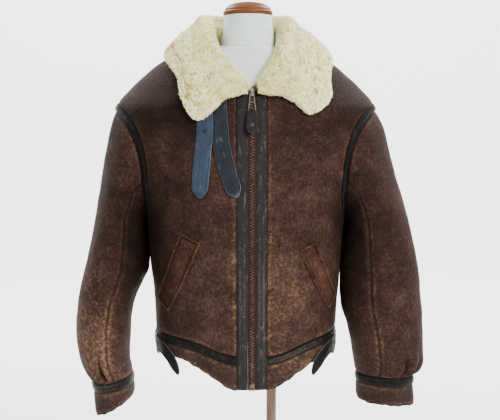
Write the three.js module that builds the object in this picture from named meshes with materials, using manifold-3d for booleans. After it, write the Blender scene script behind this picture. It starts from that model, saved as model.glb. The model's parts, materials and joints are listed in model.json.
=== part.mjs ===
// A sheepskin flying jacket worn on a limbless dress form that stands on a pole and a round base.
// Millimetres, +Z up. The front faces -Y, and +X is on the right as the jacket is seen from the front.
// Angles run round the body from the centre front: 0 front, +90 at +X, 180 back, -90 at -X.
import * as THREE from 'three';
import ManifoldModule from 'manifold-3d';

// Driving sizes
const WALL = 6; // skin with its short fleece inside
const SEAM = 0.35; // clear width between two pieces that are sewn together
const BODY_X = -9; // middle of the body, a little left of the middle of the whole
const ZIP_X = 4; // line of the zip
const TOOTH_HALF = 4.2; // half the width of the closed teeth
const ZIP_TAPE_HALF = 8.2; // half the width of the zip with its tape
const FACING_OUT = 28; // outer edge of the leather strips beside the zip
const TAPE_WIDTH = 14; // leather tape round each armhole
const WAIST_TAPE = 16; // leather tape along the waist
const HEM_SIDE_Z = 748;
const HEM_DIP = 60; // how much lower the hem hangs at the centre front
const HEM_BACK_DIP = 26;
const WAIST_SIDE_Z = 785; // top edge of the waist tape at the side
const WAIST_DIP = 29;
const ZIP_ANGLE = 5.5; // the zip's place round the body at the hem
const FACING_ANGLE = 12; // half of what the zip and its strips take there
const NECK_X = -4; // middle of the dress form's neck
const POLE_X = 45; // the pole stands to one side of the middle
const POLE_RADIUS = 10.5;
const BASE_RADIUS = 200;
const FORM_BOTTOM_Z = 772;

// Armhole: a loop round the side of the body, 0 degrees at the shoulder and 90 at the front
const ARMHOLE_Z = 1124;
const ARMHOLE_HALF_HEIGHT = 106;
const ARMHOLE_FRONT = 23; // degrees of the body that the loop takes at the front
const ARMHOLE_BACK = 24;

// Facets
const SIDE_ROWS = 5;
const ARM_ROWS = 10; // on each half of the armhole
const TOP_ROWS = 5;
const FRONT_COLUMNS = 9;
const BACK_COLUMNS = 18;
const AROUND_SLEEVE = 2 * ARM_ROWS;

// Colours of the pieces
const LOOK = {
  skin: { color: '#5a4136', roughness: 0.7, metalness: 0 },
  band: { color: '#5f463b', roughness: 0.75, metalness: 0 },
  leather: { color: '#26252a', roughness: 0.4, metalness: 0 },
  zip_cloth: { color: '#3b2c2b', roughness: 0.9, metalness: 0 },
  brass: { color: '#6b563c', roughness: 0.4, metalness: 1 },
  steel: { color: '#8d8784', roughness: 0.35, metalness: 1 },
  fleece: { color: '#dad4b4', roughness: 1, metalness: 0 },
  canvas: { color: '#e2e9ec', roughness: 0.9, metalness: 0 },
  wood: { color: '#a87648', roughness: 0.5, metalness: 0 },
};

const model = new THREE.Group();
const manifold = await ManifoldModule();
manifold.setup();

function degrees(angle) {
  return angle * Math.PI / 180;
}

function mix(from, to, share) {
  return from + (to - from) * share;
}

function table(columns, rows) {
  return rows.map((row) => Object.fromEntries(columns.map((column, k) => [column, row[k]])));
}

// A smooth curve through one column of a table, with no overshoot between its rows
function smooth(rows, along, column) {
  const x = rows.map((row) => row[along]);
  const y = rows.map((row) => row[column]);
  const last = x.length - 1;
  const width = [];
  const slope = [];
  for (let k = 0; k < last; k++) {
    width.push(x[k + 1] - x[k]);
    slope.push((y[k + 1] - y[k]) / width[k]);
  }
  const tangent = [slope[0]];
  for (let k = 1; k < last; k++) {
    const before = 2 * width[k] + width[k - 1];
    const after = width[k] + 2 * width[k - 1];
    const turns = slope[k - 1] * slope[k] <= 0;
    tangent.push(turns ? 0 : (before + after) / (before / slope[k - 1] + after / slope[k]));
  }
  tangent.push(slope[last - 1]);
  return (at) => {
    const place = Math.min(Math.max(at, x[0]), x[last]);
    let k = 0;
    while (k < last - 1 && place > x[k + 1]) {
      k += 1;
    }
    const t = (place - x[k]) / width[k];
    const t2 = t * t;
    const t3 = t2 * t;
    const ends = y[k] * (2 * t3 - 3 * t2 + 1) + y[k + 1] * (3 * t2 - 2 * t3);
    return ends + width[k] * (tangent[k] * (t3 - 2 * t2 + t) + tangent[k + 1] * (t3 - t2));
  };
}

// Level sections through the worn body of the jacket, from below the hem up to the neck.
// Each is a rounded shape: half its width, its depth to the front and back, and its squareness.
const BODY_RINGS = table(['z', 'half_width', 'front', 'back', 'square'], [
  [640, 176, 136, 126, 2.2],
  [700, 180, 141, 131, 2.25],
  [760, 184, 147, 138, 2.3],
  [850, 189, 153, 146, 2.35],
  [950, 194, 157, 153, 2.4],
  [1030, 203, 156, 158, 2.4],
  [1090, 222, 151, 160, 2.4],
  [1150, 243, 141, 156, 2.4],
  [1200, 258, 128, 148, 2.35],
  [1234, 262, 118, 139, 2.3],
  [1250, 253, 111, 134, 2.25],
  [1268, 236, 101, 127, 2.2],
  [1285, 219, 94, 120, 2.15],
  [1300, 202, 89, 113, 2.1],
  [1316, 184, 85, 105, 2.05],
  [1335, 152, 79, 95, 2],
  [1347, 120, 74, 87, 2],
  [1358, 82, 69, 80, 2],
]);
const bodyHalfWidth = smooth(BODY_RINGS, 'z', 'half_width');
const bodyFront = smooth(BODY_RINGS, 'z', 'front');
const bodyBack = smooth(BODY_RINGS, 'z', 'back');
const bodySquare = smooth(BODY_RINGS, 'z', 'square');

// The neckline under the collar, by angle from the centre front
const NECKLINE = table(['angle', 'z'], [
  [0, 1268],
  [20, 1289],
  [45, 1321],
  [70, 1346],
  [90, 1357],
  [135, 1356],
  [180, 1352],
]);
const necklineZ = smooth(NECKLINE, 'angle', 'z');

function radiusOfRing(angle, halfWidth, depth, square) {
  const across = Math.abs(Math.sin(degrees(angle))) / halfWidth;
  const along = Math.abs(Math.cos(degrees(angle))) / depth;
  return (across ** square + along ** square) ** (-1 / square);
}

function onRing(angle, z, radius, middleX) {
  return new THREE.Vector3(
    middleX + radius * Math.sin(degrees(angle)),
    -radius * Math.cos(degrees(angle)),
    z,
  );
}

function bodySurface(angle, z) {
  const depth = Math.abs(angle) < 90 ? bodyFront(z) : bodyBack(z);
  const radius = radiusOfRing(angle, bodyHalfWidth(z), depth, bodySquare(z));
  return onRing(angle, z, radius, BODY_X);
}

// A point of the body, moved out along the surface's own normal
function bodyPoint(angle, z, out) {
  const step = 0.5;
  const point = bodySurface(angle, z);
  const round = bodySurface(angle + step, z).sub(bodySurface(angle - step, z));
  const up = bodySurface(angle, z + step).sub(bodySurface(angle, z - step));
  const normal = round.cross(up).normalize();
  return point.addScaledVector(normal, out);
}

// The angle at which the front of the body has a given x
function angleAt(x, z) {
  const share = Math.min(Math.abs(x - BODY_X) / bodyHalfWidth(z), 0.999);
  const y = bodyFront(z) * (1 - share ** bodySquare(z)) ** (1 / bodySquare(z));
  return Math.atan2(x - BODY_X, y) * 180 / Math.PI;
}

// How far an angle lies outside the leather strips beside the zip
function besideZip(angle) {
  return Math.max(0, Math.abs(angle - ZIP_ANGLE) - FACING_ANGLE);
}

function hemZ(angle) {
  const front = HEM_DIP * Math.exp(-((besideZip(angle) / 28) ** 2));
  const back = HEM_BACK_DIP * Math.min(Math.max((Math.abs(angle) - 100) / 45, 0), 1);
  return HEM_SIDE_Z - front - back;
}

function waistTopZ(angle) {
  return WAIST_SIDE_Z - WAIST_DIP * Math.exp(-((besideZip(angle) / 24) ** 2.2));
}

function waistLowZ(angle) {
  return waistTopZ(angle) - WAIST_TAPE;
}

// A point of the armhole's loop: wider than the hole by the given width, measured on the body
function armhole(side, turn, wider) {
  const up = Math.cos(degrees(turn));
  const forward = Math.sin(degrees(turn));
  const share = forward > 0 ? ARMHOLE_FRONT : ARMHOLE_BACK;
  const widerDegrees = wider / 225 * 180 / Math.PI;
  return {
    angle: side * (90 - forward * (share + widerDegrees)),
    z: ARMHOLE_Z + up * (ARMHOLE_HALF_HEIGHT + wider),
  };
}

function addMesh(name, geometry, look) {
  const mesh = new THREE.Mesh(geometry, new THREE.MeshStandardMaterial(LOOK[look]));
  mesh.name = name;
  model.add(mesh);
  return mesh;
}

function volumeOf(points, faces) {
  let volume = 0;
  const cross = new THREE.Vector3();
  for (const [a, b, c] of faces) {
    volume += points[a].dot(cross.crossVectors(points[b], points[c])) / 6;
  }
  return volume;
}

// One closed body from shared points and triangles, turned so that its faces point out
function closedBody(points, faces) {
  const inward = volumeOf(points, faces) < 0;
  const index = faces.flatMap(([a, b, c]) => (inward ? [a, c, b] : [a, b, c]));
  const geometry = new THREE.BufferGeometry();
  const positions = points.flatMap((point) => [point.x, point.y, point.z]);
  geometry.setAttribute('position', new THREE.Float32BufferAttribute(positions, 3));
  geometry.setIndex(index);
  geometry.computeVertexNormals();
  return geometry;
}

function rimOrder(point) {
  return point.z + 0.37 * point.x + 0.53 * point.y;
}

// A wall between an outer and an inner grid of points, closed by rims
function wall(outer, inner, closed) {
  const rows = outer.length - 1;
  const columns = outer[0].length;
  const points = [...outer.flat(), ...inner.flat()];
  const half = outer.flat().length;
  const faces = [];
  // Each four-sided facet is split along its shorter diagonal
  const quad = (a, b, c, d) => {
    if (points[a].distanceTo(points[c]) <= points[b].distanceTo(points[d])) {
      faces.push([a, b, c], [a, c, d]);
    } else {
      faces.push([a, b, d], [b, c, d]);
    }
  };
  // A rim's facets are split by place alone, so that two rims along one seam lie alike
  const rim = (a, b) => {
    if (rimOrder(points[a]) > rimOrder(points[b])) {
      faces.push([a, half + b, half + a], [a, b, half + b]);
    } else {
      faces.push([a, b, half + a], [b, half + b, half + a]);
    }
  };
  const at = (i, j) => i * columns + (j % columns);
  const spans = closed ? columns : columns - 1;
  for (let j = 0; j < spans; j++) {
    for (let i = 0; i < rows; i++) {
      quad(at(i, j), at(i, j + 1), at(i + 1, j + 1), at(i + 1, j));
      quad(half + at(i, j + 1), half + at(i, j), half + at(i + 1, j), half + at(i + 1, j + 1));
    }
    rim(at(0, j + 1), at(0, j));
    rim(at(rows, j), at(rows, j + 1));
  }
  if (!closed) {
    for (let i = 0; i < rows; i++) {
      const end = columns - 1;
      rim(at(i, 0), at(i + 1, 0));
      rim(at(i + 1, end), at(i, end));
    }
  }
  return closedBody(points, faces);
}

// A solid through closed rings of points, with flat ends
function solid(rings) {
  const around = rings[0].length;
  const points = rings.flat();
  const faces = [];
  for (let i = 0; i < rings.length - 1; i++) {
    for (let j = 0; j < around; j++) {
      const a = i * around + j;
      const b = i * around + (j + 1) % around;
      faces.push([a, b, b + around], [a, b + around, a + around]);
    }
  }
  for (const [start, turned] of [[0, true], [(rings.length - 1) * around, false]]) {
    const middle = new THREE.Vector3();
    for (let j = 0; j < around; j++) {
      middle.addScaledVector(points[start + j], 1 / around);
    }
    points.push(middle);
    for (let j = 0; j < around; j++) {
      const a = start + j;
      const b = start + (j + 1) % around;
      faces.push(turned ? [b, a, points.length - 1] : [a, b, points.length - 1]);
    }
  }
  return closedBody(points, faces);
}

function grid(rows, columns, place) {
  return Array.from({ length: rows }, (_, i) => Array.from({ length: columns }, (_, j) => place(i, j)));
}

// A piece of the body's wall, from a grid of angles and heights
function bodyPiece(name, look, places, out, inside, closed = false) {
  const outer = places.map((row) => row.map(({ angle, z }) => bodyPoint(angle, z, out)));
  const inner = places.map((row) => row.map(({ angle, z }) => bodyPoint(angle, z, inside)));
  addMesh(name, wall(outer, inner, closed), look);
}

// Heights of the rows at the zip's edge of a front: waist, armpit, shoulder tip and neck
const FRONT_EDGE = table(['row', 'z'], [
  [0, WAIST_SIDE_Z - WAIST_DIP],
  [SIDE_ROWS, 985],
  [SIDE_ROWS + ARM_ROWS, 1196],
  [SIDE_ROWS + ARM_ROWS + TOP_ROWS, necklineZ(0)],
]);
const BACK_MIDDLE = table(['row', 'z'], [
  [0, WAIST_SIDE_Z],
  [SIDE_ROWS, 1000],
  [SIDE_ROWS + ARM_ROWS, 1236],
  [SIDE_ROWS + ARM_ROWS + TOP_ROWS, necklineZ(180)],
]);
const frontEdgeZ = smooth(FRONT_EDGE, 'row', 'z');
const backMiddleZ = smooth(BACK_MIDDLE, 'row', 'z');
const PANEL_ROWS = SIDE_ROWS + ARM_ROWS + TOP_ROWS;

// Heights along the shoulder seam, evenly spaced over the slope
const SHOULDER_SEAM = table(['row', 'z'], [
  [0, ARMHOLE_Z + ARMHOLE_HALF_HEIGHT + TAPE_WIDTH + SEAM],
  [1, 1275],
  [2, 1307],
  [3, 1331],
  [4, 1347],
  [5, necklineZ(90)],
]);
const shoulderSeamZ = smooth(SHOULDER_SEAM, 'row', 'z');

// The side edge of a front or back: side seam, armhole, then shoulder seam
function sideEdge(row, side, forward) {
  const seam = SEAM / 2 / 200 * 180 / Math.PI;
  const seamAngle = side * (90 - forward * seam);
  const low = ARMHOLE_Z - ARMHOLE_HALF_HEIGHT - TAPE_WIDTH - SEAM;
  if (row <= SIDE_ROWS) {
    return { angle: seamAngle, z: mix(waistTopZ(90) + SEAM, low, row / SIDE_ROWS) };
  }
  if (row < SIDE_ROWS + ARM_ROWS) {
    const turn = forward * (180 - 180 / ARM_ROWS * (row - SIDE_ROWS));
    return armhole(side, turn, TAPE_WIDTH + SEAM);
  }
  return { angle: seamAngle, z: shoulderSeamZ(row - SIDE_ROWS - ARM_ROWS) };
}

// The grid of a front, with its lower edge on the waist tape and its upper edge on the neckline
function frontPlace(side, row, column) {
  const share = column / (FRONT_COLUMNS - 1);
  const edge = sideEdge(row, side, 1);
  const zipZ = frontEdgeZ(row) + (row === 0 ? SEAM : 0);
  const zipAngle = angleAt(ZIP_X + side * (FACING_OUT + SEAM), zipZ);
  const angle = mix(zipAngle, edge.angle, share);
  const up = row / PANEL_ROWS;
  const lowBend = waistTopZ(angle) - mix(waistTopZ(zipAngle), waistTopZ(edge.angle), share);
  const ends = [necklineZ(Math.abs(zipAngle)), necklineZ(Math.abs(edge.angle))];
  const highBend = necklineZ(Math.abs(angle)) - mix(ends[0], ends[1], share);
  const z = mix(zipZ, edge.z, share) + (1 - up) ** 3 * lowBend + up ** 5 * highBend;
  return { angle, z: z + rowBend(row, share) };
}

// Rows bend away from the top and foot of the armhole, so that they meet it squarely
const TIP_BEND = 24;
const PIT_BEND = -15;
const BEND_ROWS = 2.1; // rows over which a bend dies away
const BEND_PEAK = 0.082; // the greatest value of the curve across the panel

function rowBend(row, share) {
  const tip = Math.exp(-(((row - SIDE_ROWS - ARM_ROWS) / BEND_ROWS) ** 2));
  const pit = Math.exp(-(((row - SIDE_ROWS) / BEND_ROWS) ** 2));
  const bend = TIP_BEND * tip + PIT_BEND * pit;
  return row === 0 ? 0 : bend * share ** 4 * (1 - share) / BEND_PEAK;
}

function makeFronts() {
  for (const [name, side] of [['front_left', -1], ['front_right', 1]]) {
    const places = grid(PANEL_ROWS + 1, FRONT_COLUMNS, (i, j) => frontPlace(side, i, j));
    bodyPiece(name, 'skin', places, 0, -WALL);
  }
}

function backPlace(row, column) {
  const share = column / (BACK_COLUMNS - 1);
  const edge = sideEdge(row, 1, -1);
  const angle = mix(-edge.angle, edge.angle - 360, share);
  const turn = Math.sin(Math.PI * share);
  const z = mix(edge.z, backMiddleZ(row) + (row === 0 ? SEAM : 0), turn);
  const towardSide = Math.abs(2 * share - 1);
  return { angle, z: z + rowBend(row, towardSide) };
}

function makeBack() {
  const places = grid(PANEL_ROWS + 1, BACK_COLUMNS, (i, j) => wrapped(backPlace(i, j)));
  bodyPiece('back', 'skin', places, 0, -WALL);
}

// Angles past the centre back are counted from the other side
function wrapped({ angle, z }) {
  return { angle: angle < -180 ? angle + 360 : angle, z };
}

// The waist tape and the waistband below it, in the columns of the panels above them
function bandPlaces(columns, rows, angleOf, lowOf, highOf) {
  return grid(rows + 1, columns, (i, j) => {
    const rough = angleOf(j, WAIST_SIDE_Z);
    const z = mix(lowOf(rough), highOf(rough), i / rows);
    const angle = angleOf(j, z);
    return wrapped({ angle, z: mix(lowOf(angle), highOf(angle), i / rows) });
  });
}

// Angle of a front's column at a height in the waist, from the zip's strip to the side seam
function frontAngle(side, column, z) {
  const zipAngle = angleAt(ZIP_X + side * (FACING_OUT + SEAM), z);
  return mix(zipAngle, sideEdge(0, side, 1).angle, column / (FRONT_COLUMNS - 1));
}

function makeWaist() {
  const tapeLow = (angle) => waistLowZ(wrapped({ angle }).angle) + SEAM;
  const tapeHigh = (angle) => waistTopZ(wrapped({ angle }).angle);
  const bandLow = (angle) => hemZ(wrapped({ angle }).angle);
  const bandHigh = (angle) => waistLowZ(wrapped({ angle }).angle);
  const pieces = [
    ['left', FRONT_COLUMNS, (j, z) => frontAngle(-1, j, z)],
    ['right', FRONT_COLUMNS, (j, z) => frontAngle(1, j, z)],
    ['back', BACK_COLUMNS, (j) => backPlace(0, j).angle],
  ];
  for (const [name, columns, angleOf] of pieces) {
    const tape = bandPlaces(columns, 1, angleOf, tapeLow, tapeHigh);
    bodyPiece(`waist_tape_${name}`, 'leather', tape, 0.8, -WALL + 1);
    const band = bandPlaces(columns, 2, angleOf, bandLow, bandHigh);
    bodyPiece(`waistband_${name}`, 'band', band, 0, -WALL);
  }
}

// Heights of the rows down the zip: hem, waistband, then the rows of the fronts
const ZIP_ROWS = [
  hemZ(ZIP_ANGLE),
  mix(hemZ(ZIP_ANGLE), waistLowZ(ZIP_ANGLE), 0.5),
  waistLowZ(ZIP_ANGLE),
  ...Array.from({ length: PANEL_ROWS + 1 }, (_, row) => frontEdgeZ(row)),
];

function zipStrip(name, look, from, to, out, inside) {
  const places = ZIP_ROWS.map((z) => [from, to].map((x) => ({ angle: angleAt(ZIP_X + x, z), z })));
  bodyPiece(name, look, places, out, inside);
}

function makeZip() {
  zipStrip('zip_facing_left', 'leather', -FACING_OUT, -ZIP_TAPE_HALF - SEAM, 0.8, -WALL + 1);
  zipStrip('zip_facing_right', 'leather', ZIP_TAPE_HALF + SEAM, FACING_OUT, 0.8, -WALL + 1);
  zipStrip('zip_tape_left', 'zip_cloth', -ZIP_TAPE_HALF, -SEAM / 2, -0.6, -2);
  zipStrip('zip_tape_right', 'zip_cloth', SEAM / 2, ZIP_TAPE_HALF, -0.6, -2);
  const teeth = ZIP_ROWS.map((z, i) => {
    const place = i === 0 ? z + BOX_HEIGHT + SEAM : Math.min(z, SLIDER_Z - SLIDER_HALF_HEIGHT - SEAM);
    return [-TOOTH_HALF, TOOTH_HALF].map((x) => ({ angle: angleAt(ZIP_X + x, place), z: place }));
  }).filter((row, i, rows) => i === 0 || row[0].z > rows[i - 1][0].z);
  bodyPiece('zip_chain', 'brass', teeth, 2, -0.2);
  makeZipBox();
  makeSlider();
  makePull();
}

const BOX_HEIGHT = 14;
const BOX_HALF_WIDTH = 5;

// The square box at the foot of the zip
function makeZipBox() {
  const low = hemZ(ZIP_ANGLE) + 1;
  const rows = [low, low + BOX_HEIGHT - 1];
  const sides = [-BOX_HALF_WIDTH, BOX_HALF_WIDTH];
  const places = rows.map((z) => sides.map((x) => ({ angle: angleAt(ZIP_X + x, z), z })));
  bodyPiece('zip_box', 'brass', places, 3.2, -0.2);
}

// The slider sits at the top of the closed zip, with a bridge that carries the puller
const SLIDER_Z = 1263;
const SLIDER_HALF_HEIGHT = 7.5;
const SLIDER_HALF_WIDTH = 4.4;
const SLIDER_DEPTH = 4;
const SLIDER_OUT = 2.4;
const SLIDER_SLOPE = Math.atan2(bodyFront(1256) - bodyFront(1270), 14);
const PULL_SLOPE = 0.4; // the puller hangs against the zip, over the curve of the chest
const BRIDGE_WIDTH = 3.4;
const BRIDGE_HEIGHT = 4.6;
const BRIDGE_HALF_LENGTH = 3.4;
const SLOT_HALF_LENGTH = 2.6;
const SLOT_HALF_HEIGHT = 1.45;
const BAR_CENTRE = SLIDER_DEPTH / 2 + 1.7;

// A frame on the zip's line whose local z runs up the slope of the chest and local y runs inward
function zipFrame(z, out, slope) {
  const frame = new THREE.Group();
  const place = bodyPoint(angleAt(ZIP_X, z), z, out);
  frame.position.set(ZIP_X, place.y, place.z);
  frame.rotation.x = -slope;
  model.add(frame);
  return frame;
}

function addTo(frame, name, geometry, look) {
  const mesh = addMesh(name, geometry, look);
  frame.add(mesh);
  return mesh;
}

// A flat shape extruded through its thickness, centred on it
function plate(shape, thickness) {
  const options = { depth: thickness, bevelEnabled: false, curveSegments: 6 };
  const geometry = new THREE.ExtrudeGeometry(shape, options);
  geometry.translate(0, 0, -thickness / 2);
  return geometry;
}

function makeSlider() {
  const frame = zipFrame(SLIDER_Z, SLIDER_OUT, SLIDER_SLOPE);
  // The side view of the slider's middle: its body, and the bridge with the slot for the bar
  const half = SLIDER_HALF_HEIGHT;
  const face = SLIDER_DEPTH / 2;
  const reach = face + BRIDGE_HEIGHT;
  const nose = 1.5;
  const foot = BRIDGE_HALF_LENGTH + 1.2;
  const profile = new THREE.Shape();
  profile.moveTo(-half, -face);
  profile.lineTo(half - nose, -face);
  profile.lineTo(half, -face + nose);
  profile.lineTo(half, face);
  profile.lineTo(foot, face + 1.2);
  profile.lineTo(BRIDGE_HALF_LENGTH, reach);
  profile.lineTo(-BRIDGE_HALF_LENGTH, reach);
  profile.lineTo(-foot, face + 1.2);
  profile.lineTo(-half, face);
  const slot = new THREE.Path();
  slot.moveTo(-SLOT_HALF_LENGTH, BAR_CENTRE - SLOT_HALF_HEIGHT);
  slot.lineTo(SLOT_HALF_LENGTH, BAR_CENTRE - SLOT_HALF_HEIGHT);
  slot.lineTo(SLOT_HALF_LENGTH, BAR_CENTRE + SLOT_HALF_HEIGHT);
  slot.lineTo(-SLOT_HALF_LENGTH, BAR_CENTRE + SLOT_HALF_HEIGHT);
  profile.holes.push(slot);
  const middle = plate(profile, BRIDGE_WIDTH);
  const turn = new THREE.Matrix4().makeBasis(
    new THREE.Vector3(0, 0, 1),
    new THREE.Vector3(0, -1, 0),
    new THREE.Vector3(1, 0, 0),
  );
  middle.applyMatrix4(turn);
  const wings = new THREE.BoxGeometry(2 * SLIDER_HALF_WIDTH, SLIDER_DEPTH - 0.8, 2 * half - 2);
  wings.translate(0, 0.2, 0);
  addTo(frame, 'zip_slider', joined(middle, wings), 'steel');
}

function toManifold(geometry) {
  const cornersOf = geometry.index ? geometry.toNonIndexed() : geometry;
  const positions = new Float32Array(cornersOf.attributes.position.array);
  const corners = Uint32Array.from({ length: positions.length / 3 }, (_, k) => k);
  const mesh = new manifold.Mesh({ numProp: 3, vertProperties: positions, triVerts: corners });
  mesh.merge();
  return new manifold.Manifold(mesh);
}

// Two overlapping solids joined into one
function joined(one, other) {
  const mesh = toManifold(one).add(toManifold(other)).getMesh();
  const geometry = new THREE.BufferGeometry();
  geometry.setAttribute('position', new THREE.BufferAttribute(mesh.vertProperties, 3));
  geometry.setIndex(new THREE.BufferAttribute(mesh.triVerts, 1));
  const faceted = geometry.toNonIndexed();
  faceted.computeVertexNormals();
  return faceted;
}

// The puller hangs from the bridge: a tapered wire loop with a leather tab through its foot
const PULLER_LENGTH = 43;
const PULLER_TOP_HALF = 4;
const PULLER_FOOT_HALF = 8;
const PULLER_WIRE = 1.9;

function loopPath(shape, topHalf, footHalf, top, foot) {
  shape.moveTo(-topHalf, top);
  shape.lineTo(-footHalf, foot + 2);
  shape.lineTo(-footHalf + 2, foot);
  shape.lineTo(footHalf - 2, foot);
  shape.lineTo(footHalf, foot + 2);
  shape.lineTo(topHalf, top);
  return shape;
}

function makePull() {
  const frame = zipFrame(SLIDER_Z, SLIDER_OUT + BAR_CENTRE, PULL_SLOPE);
  const wire = PULLER_WIRE;
  const loop = loopPath(new THREE.Shape(), PULLER_TOP_HALF, PULLER_FOOT_HALF, wire / 2, -PULLER_LENGTH);
  const inner = new THREE.Path();
  loopPath(inner, PULLER_TOP_HALF - 1.75, PULLER_FOOT_HALF - wire, -wire / 2, -PULLER_LENGTH + wire);
  loop.holes.push(inner);
  const loopGeometry = plate(loop, 1.7);
  loopGeometry.rotateX(Math.PI / 2);
  addTo(frame, 'zip_puller', loopGeometry, 'steel');

  // The tab: a strap end with a round foot and an eyelet hole, folded round the loop's foot
  const half = 10.5;
  const top = -PULLER_LENGTH + wire + 5.4;
  const foot = top - 50;
  const tab = new THREE.Shape();
  tab.moveTo(-5.6, top);
  tab.lineTo(-half, top - 14);
  tab.lineTo(-half, foot + half);
  tab.absarc(0, foot + half, half, Math.PI, 2 * Math.PI, false);
  tab.lineTo(half, top - 14);
  tab.lineTo(5.6, top);
  const hole = new THREE.Path();
  hole.absarc(0, foot + 16, 1.8, 0, 2 * Math.PI, true);
  tab.holes.push(hole);
  const tabGeometry = plate(tab, 2.2);
  tabGeometry.rotateX(Math.PI / 2);
  const tabMesh = addTo(frame, 'zip_pull_tab', tabGeometry, 'leather');
  tabMesh.position.y = -2.3;
}

function makeArmholeTapes() {
  for (const [name, side] of [['armhole_tape_left', -1], ['armhole_tape_right', 1]]) {
    const places = grid(2, AROUND_SLEEVE, (i, j) => {
      const turn = 360 / AROUND_SLEEVE * j;
      return armhole(side, turn, i === 0 ? 0 : TAPE_WIDTH);
    });
    bodyPiece(name, 'leather', places, 1, -WALL + 1, true);
  }
}

// Sections down each sleeve as it hangs: its outer and inner edge seen from the front, half its
// depth, and the middle of that depth. The first row is the armhole. Distances from x = 0.
const SLEEVE_COLUMNS = ['outer_x', 'outer_z', 'inner_x', 'inner_z', 'depth', 'y'];
const SLEEVE_LEFT = table(SLEEVE_COLUMNS, [
  [271, 1230, 212, 1018, 76, 4],
  [283, 1199, 213, 1012, 84, 2],
  [293, 1150, 213, 1004, 89, 0],
  [303, 1090, 213, 992, 91, -2],
  [313, 1035, 212, 973, 90, -4],
  [322, 985, 211, 943, 88, -6],
  [334, 935, 212, 908, 86, -8],
  [346, 880, 223, 880, 83, -10],
  [356, 835, 240, 838, 80, -12],
  [360, 790, 248, 786, 78, -13],
  [358, 750, 251, 742, 76, -14],
  [352, 716, 250, 712, 72, -14],
  [343, 692, 247, 697, 66, -14],
  [330, 670, 246, 685, 57, -14],
]);
const SLEEVE_RIGHT = table(SLEEVE_COLUMNS, [
  [253, 1230, 194, 1018, 76, 4],
  [270, 1199, 195, 1012, 82, 2],
  [284, 1150, 195, 1004, 84, 0],
  [301, 1090, 194, 992, 83, -2],
  [317, 1035, 192, 973, 79, -4],
  [331, 985, 190, 940, 74, -6],
  [343, 935, 188, 900, 70, -8],
  [351, 885, 187, 862, 67, -10],
  [356, 835, 189, 832, 64, -12],
  [359, 790, 203, 787, 62, -13],
  [360, 750, 211, 747, 60, -14],
  [360, 720, 216, 714, 57, -14],
  [355, 698, 219, 698, 52, -14],
  [342, 680, 221, 688, 43, -14],
]);

// The cuff below each sleeve: the foot of the cuff's tape, the middle and the open end
const CUFF_LEFT = table(SLEEVE_COLUMNS, [
  [327, 652, 244, 667, 56, -14],
  [326, 625, 243, 652, 55, -14],
  [323, 599, 245, 637, 55, -14],
]);
const CUFF_RIGHT = table(SLEEVE_COLUMNS, [
  [341, 663, 222, 671, 43, -14],
  [343, 643, 222, 652, 43, -14],
  [345, 621, 224, 632, 44, -14],
]);

// Pleats where the sleeve is gathered into its cuff: place round the sleeve, depth and length
const PLEATS = table(['side', 'column', 'depth', 'rows'], [
  [-1, 5, 13, 3],
  [-1, 3, 6, 2],
  [-1, 16, 9, 3],
  [1, 3, 12, 3],
  [1, 2, 5, 1],
  [1, 17, 9, 3],
]);

// The shallow folds of a hanging sleeve, at the elbow and under the arm
const FOLDS = table(['side', 'row', 'column', 'depth'], [
  [-1, 3, 8, 6],
  [-1, 7, 8, 4],
  [-1, 8, 12, 4],
  [1, 3, 8, 6],
  [1, 6, 8, 5],
  [1, 8, 13, 4],
]);

function sleeveRing(side, row, turn) {
  const middleX = (row.outer_x + row.inner_x) / 2;
  const middleZ = (row.outer_z + row.inner_z) / 2;
  const up = Math.cos(degrees(turn));
  return new THREE.Vector3(
    side * (middleX + up * (row.outer_x - row.inner_x) / 2),
    row.y - Math.sin(degrees(turn)) * row.depth,
    middleZ + up * (row.outer_z - row.inner_z) / 2,
  );
}

// Grid of a sleeve's outer face. Its first row follows the armhole, and the rows below it
// turn step by step into the sections of the table.
function sleeveGrid(side, rows) {
  const fade = [1, 0.62, 0.3, 0.1];
  return rows.map((row, i) => Array.from({ length: AROUND_SLEEVE }, (_, j) => {
    const turn = 360 / AROUND_SLEEVE * j;
    const point = sleeveRing(side, row, turn);
    if (i < fade.length) {
      const { angle, z } = armhole(side, turn, -SEAM);
      const start = bodySurface(angle, z).sub(sleeveRing(side, rows[0], turn));
      point.addScaledVector(start, fade[i]);
    }
    return point;
  }));
}

// Normals of a grid of points that closes round its columns
function gridNormals(points, side) {
  const last = points.length - 1;
  const around = points[0].length;
  return points.map((row, i) => row.map((_, j) => {
    const round = points[i][(j + 1) % around].clone().sub(points[i][(j + around - 1) % around]);
    const down = points[Math.min(i + 1, last)][j].clone().sub(points[Math.max(i - 1, 0)][j]);
    return round.cross(down).normalize().multiplyScalar(side);
  }));
}

function moved(points, normals, distance) {
  return points.map((row, i) => row.map((point, j) => {
    const by = typeof distance === 'function' ? distance(i, j) : distance;
    return point.clone().addScaledVector(normals[i][j], by);
  }));
}

// Pleats and folds press the wall in, both faces together
function pressed(side, last) {
  return (i, j) => {
    let depth = 0;
    for (const pleat of PLEATS.filter((row) => row.side === side && row.column === j)) {
      const up = (last - i) / pleat.rows;
      depth += up < 1 ? pleat.depth * Math.sin(Math.PI * up ** 0.7) : 0;
    }
    for (const fold of FOLDS.filter((row) => row.side === side && row.row === i)) {
      depth += fold.column === j ? fold.depth : 0;
    }
    return -depth;
  };
}

// The sleeve is cut in two: the top sleeve, and the under sleeve between these columns
const UNDER_FROM = 6;
const UNDER_TO = 14;

function columnsOf(points, from, to, gapStart, gapEnd) {
  const around = points[0].length;
  return points.map((row) => {
    const chosen = [];
    for (let j = from; j <= to; j++) {
      chosen.push(row[j % around].clone());
    }
    const last = chosen.length - 1;
    const start = chosen[1].clone().sub(chosen[0]).setLength(gapStart);
    const end = chosen[last - 1].clone().sub(chosen[last]).setLength(gapEnd);
    chosen[0].add(start);
    chosen[last].add(end);
    return chosen;
  });
}

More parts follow.
